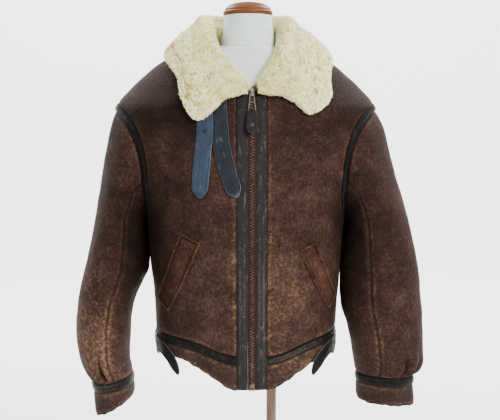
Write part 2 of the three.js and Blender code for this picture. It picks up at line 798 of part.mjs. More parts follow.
function makeSleeve(side, name, rows, cuffRows) {
  const base = sleeveGrid(side, rows);
  const baseNormals = gridNormals(base, side);
  const last = rows.length - 1;
  const outer = moved(base, baseNormals, pressed(side, last));
  const normals = gridNormals(outer, side);
  const inner = moved(outer, normals, -WALL);
  inner[last] = moved([base[last]], [baseNormals[last]], -WALL)[0];
  inner[0] = inner[0].map((_, j) => {
    const { angle, z } = armhole(side, 360 / AROUND_SLEEVE * j, -SEAM);
    return bodyPoint(angle, z, -WALL);
  });
  const gap = SEAM / 2;
  const pieces = [
    [`sleeve_top_${name}`, UNDER_TO, UNDER_FROM + AROUND_SLEEVE],
    [`sleeve_under_${name}`, UNDER_FROM, UNDER_TO],
  ];
  for (const [piece, from, to] of pieces) {
    const outside = columnsOf(outer, from, to, gap, gap);
    const inside = columnsOf(inner, from, to, gap, gap);
    addMesh(piece, wall(outside, inside, false), 'skin');
  }
  makeCuff(side, name, [rows[last], ...cuffRows]);
}

function makeCuff(side, name, rows) {
  const rings = rows.map((row) => Array.from({ length: AROUND_SLEEVE }, (_, j) => (
    sleeveRing(side, row, 360 / AROUND_SLEEVE * j)
  )));
  const normals = gridNormals(rings, side);
  const tapeOuter = moved(rings.slice(0, 2), normals.slice(0, 2), 0.8);
  const tapeInner = moved(rings.slice(0, 2), normals.slice(0, 2), -WALL + 1);
  for (const [ring, by] of [[0, -SEAM], [1, SEAM]]) {
    tapeOuter[ring].forEach((point) => { point.z += by; });
    tapeInner[ring].forEach((point) => { point.z += by; });
  }
  addMesh(`cuff_tape_${name}`, wall(tapeOuter, tapeInner, true), 'leather');
  const cuffOuter = rings.slice(1);
  const cuffInner = moved(rings.slice(1), normals.slice(1), -WALL);
  addMesh(`cuff_${name}`, wall(cuffOuter, cuffInner, true), 'band');
}

// Round the collar, by angle from its front end: the middle and radius of its roll, its
// thickness, and the height of its falling edge on the left and right
const COLLAR = table(['angle', 'roll_r', 'roll_z', 'roll', 'thick', 'left_z', 'right_z'], [
  [0, 106, 1273, 8, 11, 1256, 1256],
  [9, 99, 1291, 9, 12, 1253, 1254],
  [20, 95, 1307, 11, 12.5, 1246, 1253],
  [30, 93, 1323, 12, 13, 1222, 1241],
  [37, 92, 1333, 13, 13.5, 1209, 1222],
  [49, 91, 1352, 15, 14, 1246, 1242],
  [60, 89, 1367, 16, 14, 1290, 1292],
  [75, 87, 1384, 17, 14, 1322, 1328],
  [92, 86, 1394, 18, 14, 1342, 1342],
  [135, 87, 1398, 19, 14, 1322, 1322],
  [180, 89, 1400, 19, 14, 1316, 1316],
]);
const COLLAR_STATIONS = 19; // on each side, from the front end to the centre back
const COLLAR_CENTRE = 7; // degrees from the middle of the body to the middle of the opening
const COLLAR_GAP = 4.4; // degrees from that middle to each front end
const COLLAR_LIFT = 5; // the fall stays this far off the body
// Places of a section's points along its knots, closest together over the roll
const COLLAR_SECTION = [0, 1, 2, 2.5, 3, 3.5, 4, 4.5, 5, 5.5, 6];
const COLLAR_SPANS = 6;
const collarOf = Object.fromEntries(
  Object.keys(COLLAR[0]).map((column) => [column, smooth(COLLAR, 'angle', column)]),
);

// One section of the collar, as radius and height: up the stand, over the roll, down the fall
function collarSection(around, side) {
  const angle = collarAngle(around, side);
  const thick = collarOf.thick(around);
  const rollR = collarOf.roll_r(around);
  const rollZ = collarOf.roll_z(around);
  const roll = collarOf.roll(around);
  const edgeZ = side < 0 ? collarOf.left_z(around) : collarOf.right_z(around);
  const seamZ = necklineZ(Math.abs(angle));
  const flat = (point) => new THREE.Vector2(Math.hypot(point.x - BODY_X, point.y), point.z);
  const seam = flat(bodyPoint(angle, seamZ, -WALL / 2));
  const base = new THREE.Vector2(seam.x - 2.5, seam.y + 3.2);
  const edge = flat(bodyPoint(angle, edgeZ, COLLAR_LIFT + thick / 2));
  const out = new THREE.Vector2(rollR + roll, rollZ);
  const middle = out.clone().lerp(edge, 0.5).add(new THREE.Vector2(4, 4));
  const knots = [
    base,
    new THREE.Vector2(mix(base.x, rollR - roll, 0.6), mix(base.y, rollZ, 0.5)),
    new THREE.Vector2(rollR - roll, rollZ),
    new THREE.Vector2(rollR, rollZ + roll),
    out,
    middle,
    edge,
  ];
  return new THREE.SplineCurve(knots);
}

function collarAngle(around, side) {
  return COLLAR_CENTRE + side * mix(COLLAR_GAP, 180 - side * COLLAR_CENTRE, around / 180);
}

// Places of the stations, closer together round the points of the collar
function collarStations() {
  const half = Array.from({ length: COLLAR_STATIONS }, (_, k) => {
    const share = k / (COLLAR_STATIONS - 1);
    return 180 * (0.62 * share + 0.38 * share ** 2.4);
  });
  const left = half.map((around) => ({ around, side: -1 }));
  const right = half.slice(0, -1).reverse().map((around) => ({ around, side: 1 }));
  return [...left, ...right];
}

function makeCollar() {
  const outer = [];
  const inner = [];
  for (const { around, side } of collarStations()) {
    const section = collarSection(around, side);
    const thick = collarOf.thick(around);
    const angle = collarAngle(around, side);
    const faces = [[], []];
    for (const knot of COLLAR_SECTION) {
      const point = section.getPoint(knot / COLLAR_SPANS);
      const along = section.getTangent(knot / COLLAR_SPANS);
      const across = new THREE.Vector2(-along.y, along.x).multiplyScalar(thick / 2);
      const out = point.clone().add(across);
      const under = point.clone().sub(across);
      faces[0].push(onRing(angle, out.y, out.x, BODY_X));
      faces[1].push(onRing(angle, under.y, under.x, BODY_X));
    }
    outer.push(faces[0]);
    inner.push(faces[1]);
  }
  addMesh('collar', wall(outer, inner, false), 'fleece');
}

// A strap that lies on the body: places of its middle line, its width, and how far it is off
function makeStrap(name, look, rows, thickness) {
  const line = rows.map((row) => ({ ...row, angle: row.angle ?? angleAt(row.x, row.z) }));
  const last = line.length - 1;
  const places = line.map((row, i) => {
    const before = line[Math.max(i - 1, 0)];
    const after = line[Math.min(i + 1, last)];
    const radius = bodySurface(row.angle, row.z).setZ(0).distanceTo(new THREE.Vector3(BODY_X, 0, 0));
    const run = degrees(after.angle - before.angle) * radius;
    const rise = after.z - before.z;
    const length = Math.hypot(run, rise);
    return [-1, 0, 1].map((across) => ({
      angle: row.angle + across * row.width / 2 * rise / length / degrees(radius),
      z: row.z - across * row.width / 2 * run / length,
      off: row.off,
    }));
  });
  const outer = places.map((row) => row.map((p) => bodyPoint(p.angle, p.z, p.off + thickness)));
  const inner = places.map((row) => row.map((p) => bodyPoint(p.angle, p.z, p.off)));
  addMesh(name, wall(outer, inner, false), look);
}

const STRAP_COLUMNS = ['x', 'z', 'width', 'off'];
const COLLAR_STRAP_A = table(STRAP_COLUMNS, [
  [-84, 1221, 25, 0.4],
  [-85, 1200, 28, 0.6],
  [-87, 1165, 29, 0.6],
  [-91, 1125, 30, 0.7],
  [-94, 1084, 29, 0.7],
  [-94, 1074, 20, 0.7],
  [-94, 1066, 5, 0.7],
]);
const COLLAR_STRAP_B = table(STRAP_COLUMNS, [
  [-55, 1234, 22, 0.6],
  [-55, 1210, 25, 0.6],
  [-54, 1176, 30, 0.9],
  [-49, 1144, 31, 1.7],
  [-40, 1112, 30, 1.6],
  [-31, 1084, 29, 1.5],
  [-27, 1075, 20, 1.5],
  [-24, 1068, 5, 1.5],
]);

// Leather straps at the side of the waist, given by angle round the body instead of by x
const SIDE_COLUMNS = ['angle', 'z', 'width', 'off'];
const SIDE_STRAP = table(SIDE_COLUMNS, [
  [130, 756, 10, 2],
  [125, 756, 30, 2],
  [118, 756, 34, 2],
  [111, 756, 34, 2],
  [104, 756, 34, 2],
  [97, 756, 34, 2],
  [90, 756, 34, 2],
  [86, 756, 34, 2],
]);
const SIDE_TONGUE = table(SIDE_COLUMNS, [
  [71.4, 757, 30, 1.5],
  [67, 756, 30, 1.6],
  [62, 752, 29, 2.6],
  [57, 743, 28, 3.5],
  [53.5, 731, 24, 5],
  [51, 719, 14, 6],
  [50, 712, 4, 6.5],
]);

function mirrored(rows) {
  return rows.map((row) => ({ ...row, angle: -row.angle }));
}

const BUCKLE_OFF = 2; // middle of the frame's thickness, off the body

// The buckle's frame lies flat on the side of the waist, with its bar and prong across it
function makeBuckle(name, side) {
  const place = { angle: side * 76.5, z: 756 };
  const origin = bodyPoint(place.angle, place.z, BUCKLE_OFF);
  const out = bodyPoint(place.angle, place.z, BUCKLE_OFF + 1).sub(origin).normalize();
  const up = new THREE.Vector3(0, 0, 1).addScaledVector(out, -out.z).normalize();
  const across = up.clone().cross(out);
  const halfWidth = 14;
  const halfHeight = 21;
  const frame = new THREE.Shape();
  frame.moveTo(-halfWidth + 4, -halfHeight);
  frame.lineTo(halfWidth - 4, -halfHeight);
  frame.lineTo(halfWidth, -halfHeight + 4);
  frame.lineTo(halfWidth, halfHeight - 4);
  frame.lineTo(halfWidth - 4, halfHeight);
  frame.lineTo(-halfWidth + 4, halfHeight);
  frame.lineTo(-halfWidth, halfHeight - 4);
  frame.lineTo(-halfWidth, -halfHeight + 4);
  for (const [low, high, rim] of [[-halfWidth + 3.4, -2, 3.4], [1.4, halfWidth - 3.4, 3.8]]) {
    const opening = new THREE.Path();
    opening.moveTo(low, -halfHeight + rim);
    opening.lineTo(low, halfHeight - rim);
    opening.lineTo(high, halfHeight - rim);
    opening.lineTo(high, -halfHeight + rim);
    frame.holes.push(opening);
  }
  const mesh = addMesh(name, plate(frame, 2.6), 'leather');
  mesh.applyMatrix4(new THREE.Matrix4().makeBasis(across, up, out).setPosition(origin));
}

// Pocket welts: long narrow frames of leather, by the middle of their two ends
const WELT_ENDS = table(['name', 'top_x', 'top_z', 'foot_x', 'foot_z', 'width'], [
  ['pocket_welt_left', -112.5, 989, -170, 850, 44],
  ['pocket_welt_right', 109, 972, 161, 852, 37],
]);

function makePockets() {
  for (const row of WELT_ENDS) {
    const line = Array.from({ length: 7 }, (_, k) => ({
      x: mix(row.top_x, row.foot_x, k / 6),
      z: mix(row.top_z, row.foot_z, k / 6),
      width: row.width,
      off: 0.9,
    }));
    makeStrap(row.name, 'skin', line, 3);
  }
}

// Level sections through the dress form, from its flat bottom up to its neck
const FORM_RINGS = table(['z', 'half_width', 'front', 'back', 'x'], [
  [FORM_BOTTOM_Z, 150, 108, 102, BODY_X],
  [800, 156, 113, 107, BODY_X],
  [860, 157, 114, 108, BODY_X],
  [950, 168, 126, 120, BODY_X],
  [1050, 178, 134, 132, BODY_X],
  [1120, 184, 129, 136, BODY_X],
  [1180, 188, 118, 130, BODY_X],
  [1230, 190, 100, 119, BODY_X],
  [1265, 187, 84, 108, BODY_X],
  [1292, 184, 71, 96, BODY_X],
  [1308, 178, 65, 88, BODY_X],
  [1320, 165, 61, 80, BODY_X],
  [1331, 143, 56, 72, BODY_X],
  [1341, 94, 54.5, 66, BODY_X + 2],
  [1350, 68, 55, 60, BODY_X + 3.5],
  [1360, 55, 55, 55, NECK_X],
  [1390, 51.5, 51.5, 51.5, NECK_X],
  [1418, 48.5, 48.5, 48.5, NECK_X],
]);
const AROUND_FORM = 28;

function makeForm() {
  const rings = FORM_RINGS.map((row) => Array.from({ length: AROUND_FORM }, (_, j) => {
    const angle = 360 / AROUND_FORM * j;
    const depth = angle > 90 && angle < 270 ? row.back : row.front;
    const square = row.z < 1300 ? 2.25 : 2;
    return onRing(angle, row.z, radiusOfRing(angle, row.half_width, depth, square), row.x);
  }));
  addMesh('form_torso', solid(rings), 'canvas');
}

function turned(name, look, profile, x, segments) {
  const points = profile.map(([radius, z]) => new THREE.Vector2(radius, z));
  const geometry = new THREE.LatheGeometry(points, segments);
  geometry.rotateX(Math.PI / 2);
  const mesh = addMesh(name, geometry, look);
  mesh.position.x = x;
}

function makeStand() {
  const cap = [
    [0, 1418.3], [48.5, 1418.3], [50, 1421], [50, 1424], [47, 1427],
    [43, 1434], [33, 1441], [16, 1444.5], [0, 1445],
  ];
  turned('form_neck_cap', 'wood', cap, NECK_X, 28);
  const pole = [[0, 62.3], [POLE_RADIUS, 62.3], [POLE_RADIUS, FORM_BOTTOM_Z - 0.3], [0, FORM_BOTTOM_Z - 0.3]];
  turned('form_pole', 'wood', pole, POLE_X, 16);
  const base = [
    [0, 0], [BASE_RADIUS - 4, 0], [BASE_RADIUS, 4], [BASE_RADIUS, 14], [BASE_RADIUS - 10, 22],
    [70, 30], [34, 40], [26, 62], [0, 62],
  ];
  turned('form_base', 'wood', base, POLE_X, 48);
}

makeFronts();
makeBack();
makeWaist();
makeZip();
makeArmholeTapes();
makeSleeve(-1, 'left', SLEEVE_LEFT, CUFF_LEFT);
makeSleeve(1, 'right', SLEEVE_RIGHT, CUFF_RIGHT);
makeCollar();
makeStrap('collar_strap_a', 'leather', COLLAR_STRAP_A, 2.4);
makeStrap('collar_strap_b', 'leather', COLLAR_STRAP_B, 2.4);
for (const [name, side, turn] of [['left', -1, mirrored], ['right', 1, (rows) => rows]]) {
  makeStrap(`side_strap_${name}`, 'leather', turn(SIDE_STRAP), 2.4);
  makeStrap(`side_tongue_${name}`, 'leather', turn(SIDE_TONGUE), 2.4);
  makeBuckle(`side_buckle_${name}`, side);
}
makePockets();
makeForm();
makeStand();

export default model;
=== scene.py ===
# The looks of a sheepskin flying jacket on a dress form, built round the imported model.
# Shapes are worked out in millimetres in the model's own frame and scaled once, in piece().
# The front faces -Y, +X is on the right as seen from the front, +Z is up.
import json
import math

import bpy
import numpy as np
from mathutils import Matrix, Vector, kdtree


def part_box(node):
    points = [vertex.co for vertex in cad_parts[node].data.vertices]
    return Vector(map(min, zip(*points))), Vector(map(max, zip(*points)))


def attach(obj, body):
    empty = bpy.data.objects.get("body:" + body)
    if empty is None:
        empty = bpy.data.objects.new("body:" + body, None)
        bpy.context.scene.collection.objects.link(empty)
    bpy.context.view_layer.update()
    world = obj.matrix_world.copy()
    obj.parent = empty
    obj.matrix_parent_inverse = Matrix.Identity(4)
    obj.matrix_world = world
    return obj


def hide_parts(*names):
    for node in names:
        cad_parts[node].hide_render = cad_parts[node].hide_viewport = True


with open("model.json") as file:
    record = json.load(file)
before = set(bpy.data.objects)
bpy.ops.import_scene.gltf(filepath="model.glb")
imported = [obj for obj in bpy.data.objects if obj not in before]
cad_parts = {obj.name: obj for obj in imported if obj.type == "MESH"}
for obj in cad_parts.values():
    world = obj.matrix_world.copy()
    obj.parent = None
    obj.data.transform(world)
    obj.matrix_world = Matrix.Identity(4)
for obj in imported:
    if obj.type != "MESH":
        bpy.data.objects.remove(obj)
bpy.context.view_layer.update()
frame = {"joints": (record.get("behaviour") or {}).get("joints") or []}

MM = 0.001
COAT = "jacket_and_form"
PULL = "zip_pull"
JOINT = frame["joints"][0]

# Driving sizes, the same as the solids have. Sizes are in mm and angles in degrees
WALL = 6
SEAM = 0.08
BODY_X = -9
ZIP_X = JOINT["pos_m"][0] / MM
TOOTH_HALF = 4.2
ZIP_TAPE_HALF = 8.2
FACING_OUT = 28
TAPE_WIDTH = 14
WAIST_TAPE = 16
HEM_SIDE_Z = 748
HEM_DIP = 60
HEM_DIP_REACH = 28
HEM_BACK_DIP = 26
WAIST_SIDE_Z = 785
WAIST_DIP = 29
WAIST_DIP_REACH = 24
ZIP_ANGLE = 5.5
FACING_ANGLE = 12
NECK_X = -4
ARMHOLE_Z = 1124
ARMHOLE_HALF_HEIGHT = 106
ARMHOLE_FRONT = 23
ARMHOLE_BACK = 24
SIDE_ROWS = 5
ARM_ROWS = 10
TOP_ROWS = 5
PANEL_ROWS = SIDE_ROWS + ARM_ROWS + TOP_ROWS
AROUND_SLEEVE = 20
SIDE_RADIUS = 200
ARMHOLE_RADIUS = 225

ACROSS = np.array([1.0, 0, 0])

# How finely the panels are drawn: rows and columns of points, on about this width and length
GRID_ROWS = 118
FRONT_COLUMNS = 48
BACK_COLUMNS = 110
FRONT_SIZE = (250, 530)
BACK_SIZE = (520, 580)

# How uneven the raw edges of the hem and the cuffs are
HEM_RAGGED = 2.2
CUFF_RAGGED = 1.8

# The slight swell of the body's sides under the arms, where they nearly meet the sleeves; -1 is left
UNDERARM_SWELL = 3.2
UNDERARM_MIDDLE = {-1: 955, 1: 940}
UNDERARM_REACH = {-1: 60, 1: 74}


def table(columns, rows):
    """Rows of named values."""
    return [dict(zip(columns, row)) for row in rows]


def mix(low, high, share):
    return low + (high - low) * share


def smooth(rows, along, column):
    """A smooth curve through one column of a table, with no overshoot between its rows."""
    x = np.array([row[along] for row in rows], float)
    y = np.array([row[column] for row in rows], float)
    width = np.diff(x)
    slope = np.diff(y) / width
    tangent = np.empty(len(x))
    tangent[0] = slope[0]
    tangent[-1] = slope[-1]
    for k in range(1, len(x) - 1):
        before = 2 * width[k] + width[k - 1]
        after = width[k] + 2 * width[k - 1]
        turns = slope[k - 1] * slope[k] <= 0
        tangent[k] = 0 if turns else (before + after) / (before / slope[k - 1] + after / slope[k])

    def curve(at):
        place = np.clip(at, x[0], x[-1])
        k = np.clip(np.searchsorted(x, place, side="right") - 1, 0, len(width) - 1)
        t = (place - x[k]) / width[k]
        ends = y[k] * (2 * t**3 - 3 * t**2 + 1) + y[k + 1] * (3 * t**2 - 2 * t**3)
        turns = tangent[k] * (t**3 - 2 * t**2 + t) + tangent[k + 1] * (t**3 - t**2)
        return ends + width[k] * turns

    return curve


# Level sections through the worn body: half its width, its depth to the front and back, squareness
BODY_RINGS = table(("z", "half_width", "front", "back", "square"), (
    (640, 176, 136, 126, 2.2),
    (700, 180, 141, 131, 2.25),
    (760, 184, 147, 138, 2.3),
    (850, 189, 153, 146, 2.35),
    (950, 194, 157, 153, 2.4),
    (1030, 203, 156, 158, 2.4),
    (1090, 222, 151, 160, 2.4),
    (1150, 243, 141, 156, 2.4),
    (1200, 258, 128, 148, 2.35),
    (1234, 262, 118, 139, 2.3),
    (1250, 253, 111, 134, 2.25),
    (1268, 236, 101, 127, 2.2),
    (1285, 219, 94, 120, 2.15),
    (1300, 202, 89, 113, 2.1),
    (1316, 184, 85, 105, 2.05),
    (1335, 152, 79, 95, 2),
    (1347, 120, 74, 87, 2),
    (1358, 82, 69, 80, 2),
))
body_half_width = smooth(BODY_RINGS, "z", "half_width")
body_front = smooth(BODY_RINGS, "z", "front")
body_back = smooth(BODY_RINGS, "z", "back")
body_square = smooth(BODY_RINGS, "z", "square")

NECKLINE = table(("angle", "z"), (
    (0, 1268), (20, 1289), (45, 1321), (70, 1346), (90, 1357), (135, 1356), (180, 1352),
))
neckline_z = smooth(NECKLINE, "angle", "z")


def wrapped(angle):
    """Angles past the centre back are counted from the other side."""
    return (np.asarray(angle, float) + 180) % 360 - 180


def lattice_noise(points, size, seed):
    """Smooth random heights from -1 to 1, in lumps of about the given size."""
    side = 32
    heights = np.random.default_rng(seed).uniform(-1, 1, (side, side, side))
    place = np.asarray(points, float) / size
    cell = np.floor(place).astype(int)
    t = place - cell
    t = t * t * (3 - 2 * t)
    total = np.zeros(place.shape[:-1])
    for i in (0, 1):
        for j in (0, 1):
            for k in (0, 1):
                share = 1.0
                for axis, step in enumerate((i, j, k)):
                    share = share * (t[..., axis] if step else 1 - t[..., axis])
                corner = (cell + (i, j, k)) % side
                total += share * heights[corner[..., 0], corner[..., 1], corner[..., 2]]
    return total


def unit(vectors):
    """Vectors of length 1 in the same directions."""
    return vectors / np.maximum(np.linalg.norm(vectors, axis=-1, keepdims=True), 1e-9)


def walked_along(points):
    """How far along a line each of its points lies."""
    step = np.linalg.norm(np.diff(points, axis=0), axis=1)
    return np.concatenate([[0], np.cumsum(step)])


def picked(at, walked, points):
    """Points at some distances along a line."""
    return np.stack([np.interp(at, walked, column) for column in np.asarray(points).T], axis=-1)


def body_surface(angle, z):
    """Points of the plain body: the angle counts from the front, to +X."""
    angle, z = np.broadcast_arrays(np.asarray(angle, float), np.asarray(z, float))
    turn = np.radians(angle)
    depth = np.where(np.cos(turn) > 0, body_front(z), body_back(z))
    square = body_square(z)
    across = np.abs(np.sin(turn)) / body_half_width(z)
    along = np.abs(np.cos(turn)) / depth
    radius = (across**square + along**square) ** (-1 / square)
    return np.stack([BODY_X + radius * np.sin(turn), -radius * np.cos(turn), z], axis=-1)


def body_normal(angle, z):
    """The way out of the plain body."""
    step = 0.5
    around = body_surface(angle + step, z) - body_surface(angle - step, z)
    up = body_surface(angle, z + step) - body_surface(angle, z - step)
    return unit(np.cross(around, up))


# Soft creases of the body, each a trough (or a ridge, where its depth is negative) along a line as
# seen from the front or from behind
CREASE_COLUMNS = ("side", "x0", "z0", "x1", "z1", "width", "depth")
BODY_CREASES = table(CREASE_COLUMNS, (
    ("front", -203, 1060, -150, 1120, 15, 3.0),
    ("front", -196, 1030, -128, 1062, 16, 2.6),
    ("front", -190, 985, -140, 1000, 20, 2.2),
    ("front", -176, 1090, -120, 1175, 18, -1.8),
    ("front", 188, 1062, 132, 1118, 15, 2.8),
    ("front", 180, 1022, 118, 1048, 17, 2.5),
    ("front", 172, 960, 128, 985, 22, 1.8),
    ("front", 158, 1100, 110, 1180, 20, -1.8),
    ("front", -150, 905, -60, 880, 26, 1.8),
    ("front", 150, 900, 70, 872, 28, 1.8),
    ("front", -128, 800, -96, 860, 18, 1.6),
    ("front", -70, 784, -58, 850, 20, 1.3),
    ("front", 122, 800, 98, 858, 18, 1.6),
    ("front", 66, 782, 60, 838, 20, 1.3),
    ("front", -118, 1190, -62, 1120, 22, 1.6),
    ("front", 92, 1200, 60, 1130, 22, 1.4),
    ("back", -200, 1062, -120, 1128, 17, 3.0),
    ("back", -192, 1020, -96, 1052, 18, 2.4),
    ("back", 182, 1060, 104, 1130, 17, 3.0),
    ("back", 174, 1018, 84, 1046, 19, 2.4),
    ("back", -120, 1230, -30, 1214, 26, 1.6),
    ("back", 30, 1212, 112, 1234, 26, 1.8),
    ("back", -150, 925, -20, 900, 30, 2.0),
    ("back", 12, 892, 140, 930, 30, 2.0),
    ("back", -110, 796, -92, 858, 20, 1.5),
    ("back", -30, 792, -24, 846, 20, 1.3),
    ("back", 46, 794, 40, 850, 20, 1.4),
    ("back", 118, 796, 98, 856, 20, 1.5),
))


def creased(points, facing, creases):
    """Depth of the creases at some points; facing is how far each looks to the front, -1 to 1."""
    total = np.zeros(points.shape[:-1])
    for row in creases:
        start = np.array([row["x0"], row["z0"]], float)
        run = np.array([row["x1"], row["z1"]], float) - start
        place = points[..., (0, 2)] - start
        share = np.clip((place @ run) / (run @ run), 0, 1)
        away = np.linalg.norm(place - share[..., None] * run, axis=-1)
        seen = facing if row["side"] == "front" else -facing
        ends = 0.55 + 0.45 * np.sin(np.pi * share)
        total += row["depth"] * ends * np.exp(-(away / row["width"]) ** 2) * np.clip(2 * seen, 0, 1)
    return total


def body_relief(points, normals):
    """How far the skin stands out from the plain body: creases and a slight unevenness."""
    uneven = 0.9 * lattice_noise(points, 64, 3) + 0.45 * lattice_noise(points, 23, 4)
    side = np.clip(10 * np.abs(normals[..., 0]) - 8.4, 0, 1)
    left = points[..., 0] < 0
    middle = np.where(left, UNDERARM_MIDDLE[-1], UNDERARM_MIDDLE[1])
    reach = np.where(left, UNDERARM_REACH[-1], UNDERARM_REACH[1])
    swell = UNDERARM_SWELL * side * np.exp(-((points[..., 2] - middle) / reach) ** 4)
    return uneven + swell - creased(points, -normals[..., 1], BODY_CREASES)


def body_point(angle, z, out):
    """Points of the body, moved out along its normals and with its relief."""
    points = body_surface(angle, z)
    normals = body_normal(angle, z)
    return points + normals * (np.asarray(out) + body_relief(points, normals))[..., None]


def angle_at(x, z):
    """The body's angle where its front has some x at some height."""
    share = np.minimum(np.abs(x - BODY_X) / body_half_width(z), 0.999)
    y = body_front(z) * (1 - share ** body_square(z)) ** (1 / body_square(z))
    return np.degrees(np.arctan2(x - BODY_X, y))


def beside_zip(angle):
    """Degrees past the edge of the leather strips beside the zip."""
    return np.maximum(0, np.abs(wrapped(angle) - ZIP_ANGLE) - FACING_ANGLE)


def hem_z(angle):
    """Height of the hem, which dips in front and a little behind."""
    front = HEM_DIP * np.exp(-(beside_zip(angle) / HEM_DIP_REACH) ** 2)
    back = HEM_BACK_DIP * np.clip((np.abs(wrapped(angle)) - 100) / 45, 0, 1)
    return HEM_SIDE_Z - front - back


def waist_top_z(angle):
    """Height of the waist tape's upper edge, which dips in front."""
    return WAIST_SIDE_Z - WAIST_DIP * np.exp(-(beside_zip(angle) / WAIST_DIP_REACH) ** 2.2)


def waist_low_z(angle):
    return waist_top_z(angle) - WAIST_TAPE


def armhole(side, turn, wider):
    """Angle and height on the armhole's loop; turn counts from its top to the front."""
    up = np.cos(np.radians(turn))
    forward = np.sin(np.radians(turn))
    share = np.where(forward > 0, ARMHOLE_FRONT, ARMHOLE_BACK)
    angle = side * (90 - forward * (share + np.degrees(np.asarray(wider) / ARMHOLE_RADIUS)))
    return angle, ARMHOLE_Z + up * (ARMHOLE_HALF_HEIGHT + wider)


FRONT_EDGE = table(("row", "z"), (
    (0, WAIST_SIDE_Z - WAIST_DIP),
    (SIDE_ROWS, 985),
    (SIDE_ROWS + ARM_ROWS, 1196),
    (PANEL_ROWS, float(neckline_z(0))),
))
BACK_MIDDLE = table(("row", "z"), (
    (0, WAIST_SIDE_Z),
    (SIDE_ROWS, 1000),
    (SIDE_ROWS + ARM_ROWS, 1236),
    (PANEL_ROWS, float(neckline_z(180))),
))
SHOULDER_SEAM = table(("row", "z"), (
    (0, ARMHOLE_Z + ARMHOLE_HALF_HEIGHT + TAPE_WIDTH + SEAM),
    (1, 1275), (2, 1307), (3, 1331), (4, 1347), (5, float(neckline_z(90))),
))
front_edge_z = smooth(FRONT_EDGE, "row", "z")
back_middle_z = smooth(BACK_MIDDLE, "row", "z")
shoulder_seam_z = smooth(SHOULDER_SEAM, "row", "z")
TIP_BEND = 24
PIT_BEND = -15
BEND_ROWS = 2.1
BEND_PEAK = 0.082


def side_edge(row, side, forward):
    """The side edge of a front or back: side seam, armhole, then shoulder seam."""
    seam_angle = side * (90 - forward * np.degrees(SEAM / 2 / SIDE_RADIUS))
    low = ARMHOLE_Z - ARMHOLE_HALF_HEIGHT - TAPE_WIDTH - SEAM
    side_z = mix(float(waist_top_z(90)) + SEAM, low, np.minimum(row / SIDE_ROWS, 1))
    turn = forward * np.clip(180 - 180 / ARM_ROWS * (row - SIDE_ROWS), 0, 180)
    arm_angle, arm_z = armhole(side, turn, TAPE_WIDTH + SEAM)
    in_arm = (row > SIDE_ROWS) & (row < SIDE_ROWS + ARM_ROWS)
    top_z = shoulder_seam_z(row - SIDE_ROWS - ARM_ROWS)
    angle = np.where(in_arm, arm_angle, seam_angle)
    return angle, np.where(in_arm, arm_z, np.where(row <= SIDE_ROWS, side_z, top_z))


def row_bend(row, share):
    """The rows of a panel bend round the top and the foot of the armhole."""
    tip = np.exp(-((row - SIDE_ROWS - ARM_ROWS) / BEND_ROWS) ** 2)
    pit = np.exp(-((row - SIDE_ROWS) / BEND_ROWS) ** 2)
    bend = (TIP_BEND * tip + PIT_BEND * pit) * np.minimum(row, 1)
    return bend * share**4 * (1 - share) / BEND_PEAK


def front_place(side, row, share):
    """Angle and height on a front, from the zip to its side edge and from the waist to the neck."""
    edge_angle, edge_z = side_edge(row, side, 1)
    zip_z = front_edge_z(row) + SEAM * (row <= 0)
    zip_angle = angle_at(ZIP_X + side * (FACING_OUT + SEAM), zip_z)
    angle = mix(zip_angle, edge_angle, share)
    up = row / PANEL_ROWS
    low_bend = waist_top_z(angle) - mix(waist_top_z(zip_angle), waist_top_z(edge_angle), share)
    neck_ends = mix(neckline_z(np.abs(zip_angle)), neckline_z(np.abs(edge_angle)), share)
    high_bend = neckline_z(np.abs(angle)) - neck_ends
    z = mix(zip_z, edge_z, share) + (1 - up) ** 3 * low_bend + up**5 * high_bend
    return angle, z + row_bend(row, share)


def back_place(row, share):
    """Angle and height on the back, from one side edge to the other."""
    edge_angle, edge_z = side_edge(row, 1, -1)
    angle = mix(-edge_angle, edge_angle - 360, share)
    z = mix(edge_z, back_middle_z(row) + SEAM * (row <= 0), np.sin(np.pi * share))
    return angle, z + row_bend(row, np.abs(2 * share - 1))


# Meshes

def spaced(count, length, edges=(0.7, 2, 4, 7)):
    """Shares from 0 to 1, with extra ones close to both ends, where seams dip."""
    near = [edge / length for edge in edges]
    middle = np.linspace(near[-1], 1 - near[-1], count)[1:-1]
    return np.array([0, *near, *middle, *(1 - share for share in reversed(near)), 1])


def mesh_of(name, points, faces):
    """A mesh in metres from points in millimetres."""
    mesh = bpy.data.meshes.new(name)
    mesh.from_pydata((np.asarray(points, float).reshape(-1, 3) * MM).tolist(), [], faces)
    mesh.update()
    return mesh


def piece(name, points, faces, looks, slot, body=COAT, stands_for=(), face_looks=None, sharp=35):
    """One finished piece: its mesh in metres, its materials, its body and what it replaces."""
    mesh = mesh_of(name, points, faces)
    for look in looks:
        mesh.materials.append(look)
    if face_looks is not None:
        mesh.polygons.foreach_set("material_index", np.asarray(face_looks, "i"))
    mesh.shade_smooth()
    mesh.set_sharp_from_angle(angle=math.radians(sharp))
    made = bpy.data.objects.new(name, mesh)
    bpy.context.scene.collection.objects.link(made)
    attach(made, body)
    if stands_for:
        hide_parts(*stands_for)
    return made


def face_outward(made):
    """Turns the faces of a closed piece outward, by the sign of its volume."""
    mesh = made.data
    points = np.empty(len(mesh.vertices) * 3)
    mesh.vertices.foreach_get("co", points)
    points = points.reshape(-1, 3)
    mesh.calc_loop_triangles()
    corners = np.array([triangle.vertices[:] for triangle in mesh.loop_triangles])
    a, b, c = (points[corners[:, k]] for k in range(3))
    if np.einsum("ij,ij->i", a, np.cross(b, c)).sum() < 0:
        mesh.flip_normals()


def paint(made, name, values):
    """A number at each vertex, which the materials read: how rubbed it is, with painted shade and painted
    highlight, or how high the fleece stands, which paints its shade and highlight.
    """
    layer = made.data.attributes.new(name, "FLOAT", "POINT")
    layer.data.foreach_set("value", np.asarray(values, "f").ravel())


